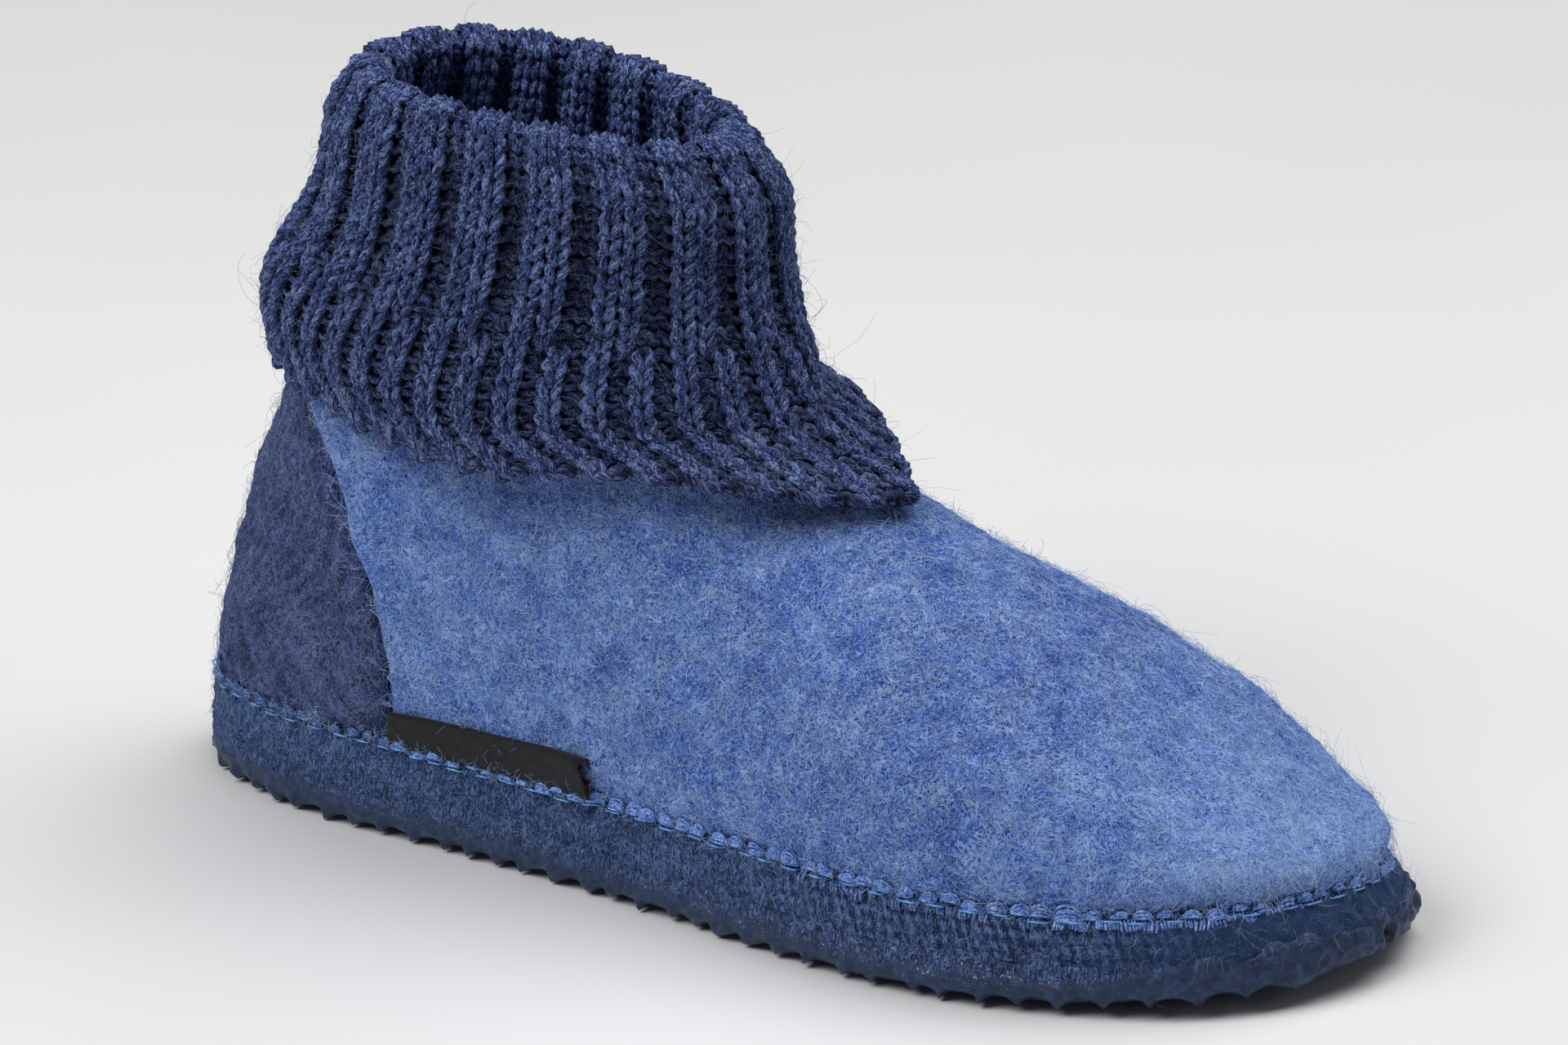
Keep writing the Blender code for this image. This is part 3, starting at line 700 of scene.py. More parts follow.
# Soft dents of the felt: x, height, side (-1 outer), length, width, slope, depth in mm
DENTS = (
    (-0.052, 0.058, -1, 0.030, 0.0070, 1.9, 0.55),
    (-0.022, 0.072, -1, 0.024, 0.0050, -0.5, 0.45),
    (0.020, 0.052, -1, 0.030, 0.0080, -0.7, 0.45),
    (0.060, 0.034, -1, 0.030, 0.0060, -0.2, 0.35),
    (0.034, 0.066, -1, 0.018, 0.0050, 0.9, 0.40),
    (-0.048, 0.056, 1, 0.028, 0.0070, 1.7, 0.55),
    (0.010, 0.060, 1, 0.026, 0.0060, -0.8, 0.50),
    (0.062, 0.036, 1, 0.028, 0.0060, -0.2, 0.35),
)


def row_ends(height):
    """Back and front of the upper at a height."""
    front = min(float(np.interp(height, INSTEP_HEIGHTS, INSTEP_FRONTS)), SEAM_OUTER[-1, 0])
    return float(curve_at(HEEL_LINE, height)), front


def upper_row(height, turn):
    """Points of the upper's outer face at a height, by the turn from the heel by the outer side."""
    share = (height - SEAM_HEIGHT) / (COLLAR_HEIGHT - SEAM_HEIGHT)
    at = max(height, LOWEST)
    back, front = row_ends(at)
    x = swing(back, front, turn)
    lean = back - SEAM_OUTER[0, 0]
    in_plan = x - lean * (1 - ease(x, back, HEEL_LEAN_END))
    outer_y, inner_y = (np.interp(in_plan, side[:, 0], side[:, 1]) for side in SEAM_SIDES)
    ridge = np.interp(x, INSTEP_FRONTS[::-1], INSTEP_HEIGHTS[::-1])
    rise = np.clip((at - LOWEST) / np.maximum(ridge - LOWEST, SEAT_GAP), 0.0, 1.0)
    arch = (1 - rise**ARCH_POWER) ** ARCH_ROUND
    middle = (outer_y + inner_y) / 2
    middle = middle + (curve_at(RIDGE_LINE, x) - middle) * rise**2
    wide = (inner_y - outer_y) / 2 * arch * curve_at(FULLNESS, at)
    y = middle + np.where(np.sin(turn) >= 0, -1.0, 1.0) * wide
    return np.column_stack([x, y, height + SEAT_GAP - seam_drop(x, y) * (1 - share)])


def edge_turn(height):
    """Turn at which the heel panel meets the front of the upper."""
    back, front = row_ends(max(height, LOWEST))
    x = float(curve_at(PANEL_EDGE, height + SEAT_GAP))
    return math.acos(np.clip(1 - 2 * (x - back) / (front - back), -1.0, 1.0))


def dents(points):
    """Depth of the listed soft dents."""
    depth = np.zeros(points.shape[:-1])
    for x, z, side, long, wide, slope, deep in DENTS:
        size = math.hypot(1.0, slope)
        dx, dz = points[..., 0] - x, points[..., 2] - z
        along, off = (dx + slope * dz) / size, (dz - slope * dx) / size
        there = ease(points[..., 1] * side, *DENT_START)
        depth += deep * MM * bump(along, 0.0, long) * bump(off, 0.0, wide) * there
    return depth


def felt_shell(turns):
    """Grid of the felt's outer face, its normals and its soft relief, drawn in along the sole seam."""
    points = np.stack([upper_row(height, turn) for height, turn in zip(UPPER_HEIGHTS, turns)])
    above = (UPPER_HEIGHTS - SEAM_HEIGHT)[:, None]
    relief = MM * waves(points, (0.20, 3, 3.5, 8), (0.30, 4, 12, 30)) - dents(points)
    relief += swell(above, *SOLE_PUFF) - swell(above, *SOLE_SINK)
    return points, grid_normals(points), relief


def seam_sink(points, depth, wide):
    """Depth to which the felt is pulled in along its side edges, with its puff beside them; way along."""
    along = way_along(points, 1)
    edge = np.minimum(along, along[:, -1:] - along)
    return swell(edge, depth, 0.0, wide) - swell(edge, *PANEL_PUFF), along


# Its toe term paints shade over the vamp and light at the toe
LIGHT_FELT = felt_look(
    "light_felt_look",
    ((0.445, (0.009, 0.046, 0.310)), (0.505, (0.082, 0.224, 0.840)), (0.562, (0.330, 0.530, 0.990))),
    (0.52, 0.70, 0.98), 0.70, toe=0.044,
)
DARK_FELT = felt_look(
    "dark_felt_look",
    ((0.44, (0.004, 0.008, 0.038)), (0.505, (0.028, 0.052, 0.192)), (0.565, (0.135, 0.192, 0.440))),
    (0.28, 0.36, 0.62), 0.55, rib=0.045,
)


def build_upper():
    """Front of the upper, in one piece from panel seam to panel seam."""
    starts = np.array([edge_turn(height) + EDGE_GAP_TURN for height in UPPER_HEIGHTS])[:, None]
    turns = starts + (FULL_TURN - 2 * starts) * np.linspace(0.0, 1.0, FRONT_COLUMNS)
    points, normals, relief = felt_shell(turns)
    sink, _ = seam_sink(points, *UPPER_SINK)
    points = points + normals * (relief - sink)[..., None]
    triangles = grid_triangles(*points.shape[:2])
    thicken(add_piece("upper_felt", points, triangles, LIGHT_FELT, "light_felt", ("upper",)), FELT_WALL)
    return points, normals


def build_heel():
    """Heel panel, with a faint upright rib."""
    ends = np.array([edge_turn(height) - EDGE_GAP_TURN for height in UPPER_HEIGHTS])[:, None]
    points, normals, relief = felt_shell(ends * np.linspace(-1.0, 1.0, HEEL_COLUMNS))
    sink, along = seam_sink(points, *HEEL_SINK)
    ribs = np.sin(FULL_TURN * along / HEEL_RIB_PITCH + waves(points, (1.2, 8, 12, 30)))
    points = points + normals * (relief - sink + HEEL_RIB_DEPTH * ribs)[..., None]
    triangles, ribs = grid_triangles(*points.shape[:2]), ribs[..., None]
    replaced = ("heel_panel",)
    piece = add_piece("heel_panel_felt", points, triangles, DARK_FELT, "dark_felt", replaced, ribs=ribs)
    thicken(piece, FELT_WALL)
    return points, normals


def build_panel_seam(upper, heel):
    """Sewn core of the two seams between heel panel and upper, inside the wall."""
    paths, outs = [], []
    for heel_end, upper_end in ((-1, 0), (0, -1)):
        out = unit(heel[1][:, heel_end] + upper[1][:, upper_end])
        paths.append((heel[0][:, heel_end] + upper[0][:, upper_end]) / 2 - out * FELT_WALL / 2)
        outs.append(out)
    points, triangles, _ = tubes(np.stack(paths), PANEL_CORE, 6, np.stack(outs))
    add_piece("panel_seam_core", points, triangles, DARK_FELT, "dark_felt", ribs=np.zeros((len(points), 1)))


def below_hem(corner):
    """Share of the fibres to keep: all where the felt shows under the cuff's hem, few elsewhere."""
    return (corner[..., 2] < curve_at(HEM_LINE, corner[..., 0]) + MM) + HIDDEN_FIBRES


LIGHT_FIBRES = fibre_look("light_fibre_look", (0.14, 0.30, 0.74), (0.52, 0.68, 0.95))
DARK_FIBRES = fibre_look("dark_fibre_look", (0.05, 0.08, 0.21), (0.27, 0.34, 0.56))


def build_felt_fibres(upper, heel):
    """Loose fibres and a few long hairs on the felt."""
    rng = np.random.default_rng(31)
    light, dark = (upper, LIGHT_FIBRES, "light_felt"), (heel, DARK_FIBRES, "dark_felt")
    for name, (face, look, slot), count, sizes, steps in (
        ("upper_fibres_a", light, 6400, (4.6, 0.45, 0.85, 2.6, 0.045), FIBRE_STEPS),
        ("upper_fibres_b", light, 6400, (4.6, 0.45, 0.85, 2.6, 0.045), FIBRE_STEPS),
        ("heel_fibres", dark, 2000, (4.4, 0.45, 0.80, 2.6, 0.043), FIBRE_STEPS),
        ("upper_stray_hairs", light, 110, (15, 0.35, 1.0, 2.4, 0.050), HAIR_STEPS),
    ):
        fibres(name, *scatter(*face, count, rng, below_hem), sizes, look, slot, rng, steps)


upper_face, heel_face = build_upper(), build_heel()
build_panel_seam(upper_face, heel_face)
build_felt_fibres(upper_face, heel_face)


# Knit cuff

WALES = 76
COURSE_PITCH = 3.25 * MM
YARN_RADIUS = 0.96 * MM
LOOP_TURN = 0.24
LOOP_HEIGHT = 1.62
LOOP_DEPTH = 0.82 * MM
FABRIC_COLUMNS = 480
OUTER_RINGS = 48
FOLD_RINGS = 12
INNER_RINGS = 36
COLLAR_LAP = 2.0 * MM
COLLAR_JOINT = 0.30
INNER_NARROWING = 0.55
HEM_FAN = 0.15
# Share round the cuff and spread of the hem's front tip and back; turn of the hem outwards in mm
FRONT_TIP = (0.5, 0.12)
BACK_SPREAD = 0.10
HEM_TURN, TIP_LESS, BACK_LESS = 1.4, 1.2, 1.0
HEM_TURN_HEIGHT = 3.5 * MM
# Spread of the loops' sway, rise and stand
LOOP_SWAY, LOOP_RISE, LOOP_STAND = 0.035, 0.07, 0.08 * MM
FOLD_FLATTER, FOLD_SPREAD = 0.65, 9 * MM
CHANGE_COURSES = 2.5
# Share of the outer courses that are single rib; height of the single and double rib; their wales' widening
RIB_CHANGE = 0.47
SINGLE_RIB, DOUBLE_RIB = 1.05, 1.55
SINGLE_WIDTH, DOUBLE_WIDTH = 0.10, 0.26
YARN_TWIST = 7.5 * MM
STREAK_LENGTH = 4.4 * MM
STREAKS_ROUND = 2.3
# Depths that the knit's painted shade spans, and the way past the fold over which its painted light inside
# comes in
DEEPEST, HIGHEST = -2.6 * MM, 2.3 * MM
INSIDE_SHADE = 12 * MM
BACKING_DEPTH = 1.5 * MM
BACKING_WALL = 0.3 * MM
HEM_RADIUS = 0.85 * MM
HEM_POINTS = 8


def spaced(ring):
    """Points of a closed ring, evenly spaced along it, one for each column of the fabric."""
    along = way_along(ring)
    at = np.linspace(0.0, along[-1], FABRIC_COLUMNS, endpoint=False)
    return np.column_stack([np.interp(at, along, ring[:, i]) for i in range(3)])


def cuff_ring(table, share, lift, narrowing=0.0):
    """Ring of the cuff from the back by the outer side; lift gives its height, narrowing its inner front."""
    back, front, half, point = (float(curve_at(table, share, i)) for i in range(1, 5))
    turn = np.linspace(0.0, math.pi, 161)
    x = swing(back, front, turn)
    power = CUFF_ROUND_BACK + (point - CUFF_ROUND_BACK) * ease(turn, 0.0, math.pi)
    slimmer = power + narrowing * ease(turn, 0.3 * math.pi, math.pi)
    middle = curve_at(RIDGE_LINE, x)
    ys = middle - half * np.sin(turn) ** power, middle + half * np.sin(turn) ** slimmer
    outer, inner = (np.column_stack([x, y, lift(x, y)]) for y in ys)
    return spaced(np.vstack([outer, inner[-2::-1]]))


def fold_height(x, y):
    """Height of the fold, which falls towards the shin, less so on the outer side."""
    back, front = CUFF_OUTER[-1][1:3]
    share = (x - back) / (front - back)
    rise = FOLD_OUTER_RISE * ease(x, *FOLD_RISE_ALONG) * (1 - ease(y, *FOLD_RISE_ACROSS))
    rise = rise + FOLD_CROWN * np.clip(4 * share * (1 - share), 0.0, 1.0)
    return FOLD_BACK_HEIGHT + (FOLD_FRONT_HEIGHT - FOLD_BACK_HEIGHT) * share + rise


def knit_fabric():
    """Middle of the knit from hem to fold to collar: rings, their normals, and their way from the hem."""
    seat = COLLAR_HEIGHT + SEAT_GAP + COLLAR_GAP

    def outer_lift(share):
        return lambda x, y: (1 - share) * curve_at(HEM_LINE, x) + share * fold_height(x, y)

    def inner_lift(share):
        return lambda x, y: seat + share * (fold_height(x, y) - seat)

    outer = []
    for share in np.linspace(0, 1, OUTER_RINGS):
        narrowing = INNER_NARROWING * bump(share, 0.1, 0.2)
        outer.append(cuff_ring(CUFF_OUTER, share, outer_lift(share), narrowing))
    edge = upper_row(COLLAR_HEIGHT, np.linspace(0, FULL_TURN, 721))
    along = np.gradient(edge, axis=0)
    edge[:, :2] += unit(np.column_stack([-along[:, 1], along[:, 0]])) * FELT_WALL / 2
    edge[:, 2] -= COLLAR_LAP
    shift = spaced(edge) - cuff_ring(CUFF_INNER, 0.0, inner_lift(0.0))
    inner = []
    for share in np.linspace(1, 0, INNER_RINGS):
        joined = 1 - ease(share, 0.0, COLLAR_JOINT)
        inner.append(cuff_ring(CUFF_INNER, share, inner_lift(share)) + shift * joined)
    across = np.linalg.norm((inner[0] - outer[-1])[:, :2], axis=1)
    fold = []
    for turn in np.linspace(0, math.pi, FOLD_RINGS + 2)[1:-1]:
        fold.append(swing(outer[-1], inner[0], turn) + (across / 2 * math.sin(turn))[:, None] * UP)
    rings = np.array(outer + fold + inner)
    return rings, grid_normals(rings, closed=True), way_along(rings).mean(axis=1)


FABRIC, FABRIC_OUT, FABRIC_WAY = knit_fabric()
FABRIC_END = FABRIC_WAY[-1]
OUTER_END = FABRIC_WAY[OUTER_RINGS - 1]
FOLD_WAY = (OUTER_END + FABRIC_WAY[OUTER_RINGS + FOLD_RINGS]) / 2
COURSES = math.ceil(FABRIC_END / COURSE_PITCH)
OUTER_COURSES = int(OUTER_END / COURSE_PITCH)
CHANGE = OUTER_COURSES * RIB_CHANGE


def on_fabric(values, share, way):
    """Values of the fabric at a share of the way round and a way from the hem."""
    low = np.clip(np.searchsorted(FABRIC_WAY, way) - 1, 0, len(FABRIC_WAY) - 2)
    up = ((way - FABRIC_WAY[low]) / (FABRIC_WAY[low + 1] - FABRIC_WAY[low]))[..., None]
    column = (share % 1.0) * FABRIC_COLUMNS
    left = np.floor(column).astype(int) % FABRIC_COLUMNS
    right = (left + 1) % FABRIC_COLUMNS
    over = (column - np.floor(column))[..., None]
    lower, upper = (values[row, left] * (1 - over) + values[row, right] * over for row in (low, low + 1))
    return lower * (1 - up) + upper * up


def hem_curl(share):
    """How far the hem turns outwards, least at the front tip and at the back."""
    back = bump(share, 0.0, BACK_SPREAD) + bump(share, 1.0, BACK_SPREAD)
    return (HEM_TURN - TIP_LESS * bump(share, *FRONT_TIP) - BACK_LESS * back) * MM


def fanned(share, fan):
    """Shares round the cuff, with the wales spread towards the front."""
    return share - fan * np.sin(FULL_TURN * share) / FULL_TURN


# 1 for a knit wale and -1 for a purl one
SINGLE_WALES = np.where(np.arange(WALES) % 2 == 0, 1.0, -1.0)
DOUBLE_WALES = np.where(np.arange(WALES) % 4 < 2, 1.0, -1.0)


def knit_course(course, points_per_loop, rng):
    """Path of one course's yarn round the cuff, its normals, its radius, and how far out it stands."""
    kind = SINGLE_WALES if course < CHANGE else DOUBLE_WALES
    upper = ease(course, CHANGE - CHANGE_COURSES, CHANGE + CHANGE_COURSES)
    width = (1 - upper) * (1 + SINGLE_WIDTH * SINGLE_WALES) + upper * (1 + DOUBLE_WIDTH * DOUBLE_WALES)
    flatter = 1 - FOLD_FLATTER * bump((course + 0.5) * COURSE_PITCH, FOLD_WAY, FOLD_SPREAD)
    rib = ((1 - upper) * SINGLE_RIB * SINGLE_WALES + upper * DOUBLE_RIB * flatter * DOUBLE_WALES) * MM
    starts = np.concatenate([[0.0], np.cumsum(width)]) / width.sum()
    starts = fanned(starts, HEM_FAN * (1 - ease(course, 0, CHANGE + 2)))
    t = np.arange(points_per_loop) * (FULL_TURN / points_per_loop)
    head = (1 - np.cos(t)) / 2
    sway = rng.normal(0, LOOP_SWAY, WALES)[:, None] * head
    local = t / FULL_TURN + LOOP_TURN * np.sin(2 * t) + sway
    share = starts[:-1, None] + local * np.diff(starts)[:, None]
    rise = -np.cos(t) * LOOP_HEIGHT / 2 + rng.normal(0, LOOP_RISE, WALES)[:, None] * head
    beside, beside_rib = (np.where(t < math.pi, *np.stack([np.roll(row, 1), np.roll(row, -1)])[..., None])
                          for row in (kind, rib))
    kind, rib = kind[:, None], rib[:, None]
    foot, leg = (1 + np.cos(2 * t)) / 2, (1 - np.cos(2 * t)) / 2
    depth = np.where(np.cos(t) > 0, -(kind + beside) / 2 * foot + kind * leg, -kind * np.cos(2 * t))
    own = head**0.6
    stand = rib * own + (rib + beside_rib) / 2 * (1 - own)
    stretched = bump(share, *FRONT_TIP) * (1 - ease(course, 3, 9))
    out = depth * LOOP_DEPTH * (1 - 0.25 * stretched) + stand * (1 - 0.5 * stretched)
    out = out + rng.normal(0, LOOP_STAND, WALES)[:, None] * own
    way = (course + 0.5 + rise) * COURSE_PITCH
    out = out + hem_curl(share) * np.exp(-np.maximum(way, 0) / HEM_TURN_HEIGHT)
    share, way, out = share.ravel(), way.ravel(), out.ravel()
    at = np.clip(way, 0, FABRIC_END)
    normals, middle = on_fabric(FABRIC_OUT, share, at), on_fabric(FABRIC, share, at)
    path = middle + normals * out[:, None] + np.minimum(way, 0)[:, None] * UP
    radius = YARN_RADIUS * (1 + 0.10 * -np.cos(2 * t)) * np.ones((WALES, 1))
    return path, normals, radius.ravel(), out


def yarn_place(paths, turned):
    """Place along and round the yarn, wound up with its twist, in units that suit the noise."""
    along = way_along(paths, 1)[..., None] + (np.arange(len(paths)) * 0.71)[:, None, None]
    angle = turned + FULL_TURN * along / YARN_TWIST
    spot = [along / STREAK_LENGTH + 0 * angle, STREAKS_ROUND * np.cos(angle), STREAKS_ROUND * np.sin(angle)]
    return np.stack(spot, axis=-1).reshape(-1, 3)


YARN = yarn_look(
    "knit_look",
    ((0.41, (0.0090, 0.0145, 0.056)), (0.48, (0.041, 0.067, 0.235)), (0.53, (0.108, 0.173, 0.480)),
     (0.61, (0.280, 0.385, 0.680))),
    (0.30, 0.37, 0.64), (0.40, 0.50, 0.80),
)
KNIT_FIBRES = fibre_look("knit_fibre_look", (0.04, 0.06, 0.16), (0.22, 0.27, 0.46))


def build_knit(name, courses, points_per_loop, sides, seed, replaced=(), lightest=0.0):
    """Some courses of the knit as one piece, with painted shade by depth and painted light inside the fold;
    lightest keeps the painted shade of its hollows from going dark.
    """
    rng = np.random.default_rng(seed)
    made = [knit_course(course, points_per_loop, rng) for course in courses]
    paths, outs, radii, stand = (np.stack([course[i] for course in made]) for i in range(4))
    points, triangles, turned = tubes(paths, radii, sides, outs, closed=True)
    # deep carries painted shade by how far each point stands out of the fabric; inside adds painted light to
    # the courses past the fold
    level = stand[..., None] + radii[..., None] * np.sin(turned)
    deep = np.clip((level - DEEPEST) / (HIGHEST - DEEPEST), lightest, 1)
    inside = ease((np.array(courses) + 0.5) * COURSE_PITCH, FOLD_WAY, FOLD_WAY + INSIDE_SHADE)
    deep = (deep + inside[:, None, None]).reshape(-1, 1)
    add_piece(name, points, triangles, YARN, "knit", replaced, yarn=yarn_place(paths, turned), deep=deep)
    return paths.reshape(-1, 3), outs.reshape(-1, 3)


def build_shade_backing():
    """Dark sheet behind the fabric, painted shade seen between the loops."""
    points = (FABRIC - FABRIC_OUT * BACKING_DEPTH)[::2, ::4]
    points[0] += (points[1] - points[0]) * 0.5
    # Dark tones: painted shade between the loops
    look = felt_look(
        "knit_back_shade_look",
        ((0.36, (0.008, 0.012, 0.034)), (0.50, (0.020, 0.030, 0.080)), (0.64, (0.045, 0.062, 0.150))),
        (0.06, 0.08, 0.15), 0.4,
    )
    triangles = grid_triangles(*points.shape[:2], closed=True)
    thicken(add_piece("cuff_shade_backing", points, triangles, look, "knit"), BACKING_WALL)


def build_hem():
    """Cast-off edge: two strands wound along the hem."""
    wale = np.arange(WALES * HEM_POINTS) / HEM_POINTS
    knit = np.cos(math.pi * (wale - 0.5))[:, None]
    share = fanned(wale / WALES, HEM_FAN)
    normals, middle = (on_fabric(values, share, np.zeros_like(share)) for values in (FABRIC_OUT, FABRIC))
    base = middle + normals * (hem_curl(share) + 0.1 * MM)[:, None]
    paths = []
    for start in (0.0, math.pi):
        turn = (FULL_TURN * wale + start)[:, None]
        sway = (0.55 * np.sin(turn) + knit) * MM
        drop = (-0.3 - knit + 0.6 * np.cos(turn)) * MM
        paths.append(base + normals * sway + drop * UP)
    paths = np.stack(paths)
    points, triangles, turned = tubes(paths, HEM_RADIUS, 6, np.stack([normals, normals]), closed=True)
    # Painted shade of the hem's strands, darker where they lie deeper
    level = (0.5 + 0.35 * knit[None] + 0.25 * np.sin(turned)).reshape(-1, 1)
    add_piece("cuff_hem", points, triangles, YARN, "knit", yarn=yarn_place(paths, turned), deep=level)


def build_cuff_fibres(paths, outs):
    """Loose fibres and a few long hairs on the knit."""
    rng = np.random.default_rng(43)
    for name, count, spread, sizes, steps in (
        ("cuff_fibres", 5600, 0.5, (4.2, 0.45, 0.7, 3.0, 0.034), FIBRE_STEPS),
        ("cuff_stray_hairs", 70, 0.4, (12, 0.35, 2.2, 2.6, 0.045), HAIR_STEPS),
    ):
        chosen = rng.integers(0, len(paths), count)
        lean = unit(outs[chosen] + rng.normal(0, spread, (count, 3)))
        fibres(name, paths[chosen] + lean * YARN_RADIUS, lean, sizes, KNIT_FIBRES, "knit", rng, steps)


knit_yarn = build_knit("cuff_knit_outer", range(OUTER_COURSES), 12, 5, 41, ("cuff",))
build_knit("cuff_knit_inner", range(OUTER_COURSES, COURSES), 8, 4, 42, lightest=0.9)
build_shade_backing()
build_hem()
build_cuff_fibres(*knit_yarn)


# Sole

SIDE_STATIONS = 400
TREAD_INSETS = (0.016, 0.0055)
TRAY_HEIGHTS = (0.0002, 0.0010, 0.0020, 0.0032, 0.0044, 0.0055, 0.0066, 0.0076, 0.0086, 0.0096, TRAY_LIP_TOP)
TRAY_LIP_ROUND = 0.7 * MM
TRAY_INNER_HEIGHT = 0.0078
TOOTH_TOP = (0.0004, 0.0042)
FELT_WALL_FOOT = 0.0072
FELT_WALL_HEIGHTS = np.linspace(0.0084, SEAM_HEIGHT, 13)
# Rough places of the latex at the toe: a cut pit, and a torn corner; place, width and push in mm
TOE_FLAWS = (
    ((0.1314, 0.0093, 0.0076), 1.5, -3.4),
    ((0.1270, 0.0280, 0.0078), 1.6, 0.7),
    ((0.1302, 0.0190, 0.0094), 1.4, 0.8),
)
# Stretches along the shoe or up its wall over which a look or a shape comes in or goes
LATEX_ROUGH_ENDS, FELT_ROUGH_ENDS = (0.095, 0.128), (0.105, 0.128)
SPECKS_START, SPECKS_END = (-0.02, 0.04), (0.080, 0.102)
COURSES_START, COURSES_END = (0.010, 0.050), (0.104, 0.120)
FELT_FOOT_END, FELT_TOP_START = (0.0088, 0.0112), (0.0178, SEAM_HEIGHT)
FELT_BELLY = (0.30, 0.0155, 0.0025)
INSOLE_GRID = (110, 22)
INSOLE_ROUND = 1.5 * MM


def sole_ring(height, inset, toe_inset=0.0):
    """Ring round the sole at a height: heel tip, outer side, toe tip, inner side."""
    turn = np.linspace(0.0, math.pi, SIDE_STATIONS + 1)
    x, outer_y, inner_y = plan_sides(inset_plan(inset, toe_inset), turn)
    ring = np.vstack([np.column_stack([x, outer_y]), np.column_stack([x, inner_y])[-2:0:-1]])
    return np.column_stack([ring, lifted(height, ring[:, 0], ring[:, 1])])


def wall_inset(height):
    """Inset of the sole's wall at a height, and its further inset at the toe."""
    return [float(curve_at(SOLE_WALL, height, column)) for column in (1, 2)]


def wall_ring(height, further_in=0.0):
    """Ring on the sole's wall at a height."""
    inset, toe_inset = wall_inset(height)
    return sole_ring(height, inset + further_in, toe_inset)


def ring_cap(start, count, flip):
    """Triangles that close a ring by rungs from side to side."""
    made = []
    for i in range(count // 2):
        a, b, c, d = start + i, start + i + 1, start + (count - i - 1) % count, start + (count - i) % count
        corners = [(a, b, c)] if a == d else [(a, c, d)] if b == c else [(a, b, c), (a, c, d)]
        made += [corner[::-1] if flip else corner for corner in corners]
    return np.array(made)


def build_tray(name, rings, material, slot, replaced, show):
    """Closed piece through rings, from its lower cap to its upper one; seam: way round, height, strength."""
    rings = np.stack(rings)
    rows, count = rings.shape[:2]
    caps = [ring_cap(0, count, True), ring_cap((rows - 1) * count, count, False)]
    triangles = np.vstack([grid_triangles(rows, count, closed=True), *caps])
    height = level_of(rings) / MM
    along = np.broadcast_to(way_along(rings[rows // 2]) / MM, height.shape)
    seam = np.stack([along, height, show(rings)], axis=-1).reshape(-1, 3)
    add_piece(name, rings, triangles, material, slot, replaced, seam=seam)


def tread(x):
    """Share of the way up from the floor into a groove, by x: narrow leaning teeth, wide hollows."""
    rng = np.random.default_rng(51)
    tooth = np.zeros_like(x)
    for k in range(-20, 20):
        middle = (k + 0.5) * RIDGE_PITCH + rng.uniform(-0.9, 0.9) * MM
        size, tall = rng.uniform(1.0, 1.7) * MM, rng.uniform(0.72, 1.0)
        off = (x - middle) / size
        off = np.where(off > 0, off * rng.uniform(0.7, 1.0), off * rng.uniform(1.0, 1.5))
        tooth = np.maximum(tooth, tall * np.exp(-np.abs(off) ** 1.35))
    return 1 - tooth


def outward(ring):
    """Level outward direction at each point of a ring."""
    ahead = heading(ring)
    return unit(np.column_stack([ahead[:, 1], -ahead[:, 0], np.zeros(len(ring))]))


def flaw(points, place, wide):
    """1 at a flaw's place, falling to 0 round it."""
    return bump(np.linalg.norm(points - np.array(place), axis=-1), 0.0, wide * MM)


def specks_and_pit_shade(points):
    """Share of the latex wall's pale specks, most along the ball of the foot; below 0 in the pit, where it
    paints shade.
    """
    x = points[..., 0]
    share = (0.20 + 0.80 * ease(x, *SPECKS_START)) * (1 - ease(x, *SPECKS_END))
    place, wide, _ = TOE_FLAWS[0]
    return share - flaw(points, place, 1.5 * wide)


def coursed(points):
    """Strength of the short courses on the felt wall, most along the ball of the foot."""
    x = points[..., 0]
    return ease(x, *COURSES_START) * (1 - ease(x, *COURSES_END)) * 0.9 + 0.12


def build_outsole():
    """Latex tray: ridged tread, toothed foot of the wall, thin uneven lip."""
    rings = []
    for further in TREAD_INSETS:
        ring = sole_ring(0.0, SOLE_WALL[0][1] + further)
        rings.append(ring + (RIDGE_DEPTH * tread(ring[:, 0]))[:, None] * UP)
    for height in TRAY_HEIGHTS:
        ring = wall_ring(height)
        out = outward(ring)
        ends = ease(np.abs(ring[:, 0]), *LATEX_ROUGH_ENDS)
        groove = tread(ring[:, 0] + MM * waves(ring, (0.6, 52, 6, 20)))
        low = 1 - ease(height, *TOOTH_TOP)
        ring[:, 2] += RIDGE_DEPTH * groove * low
        push = waves(ring, (0.16, 53, 2.2, 6)) * (0.6 + 0.8 * ends)
        push += sum(amount * flaw(ring, place, wide) for place, wide, amount in TOE_FLAWS)
        push += low * (0.85 * (1 - groove) - 0.35) + waves(ring, (0.10, 54, 9, 25))
        if height == TRAY_LIP_TOP:
            ring[:, 2] += MM * waves(ring, (0.7, 55, 4, 12), (0.5, 56, 15, 40))
            push -= 0.30
        rings.append(ring + out * (push * MM)[:, None])
    rings.append(rings[-1] - outward(rings[-1]) * TRAY_LIP_ROUND)
    rings += [wall_ring(height, TRAY_LIP_WALL) for height in (TRAY_INNER_HEIGHT, TRAY_FLOOR_TOP)]
    build_tray("outsole_latex", rings, latex_look(), "latex", ("outsole",), specks_and_pit_shade)


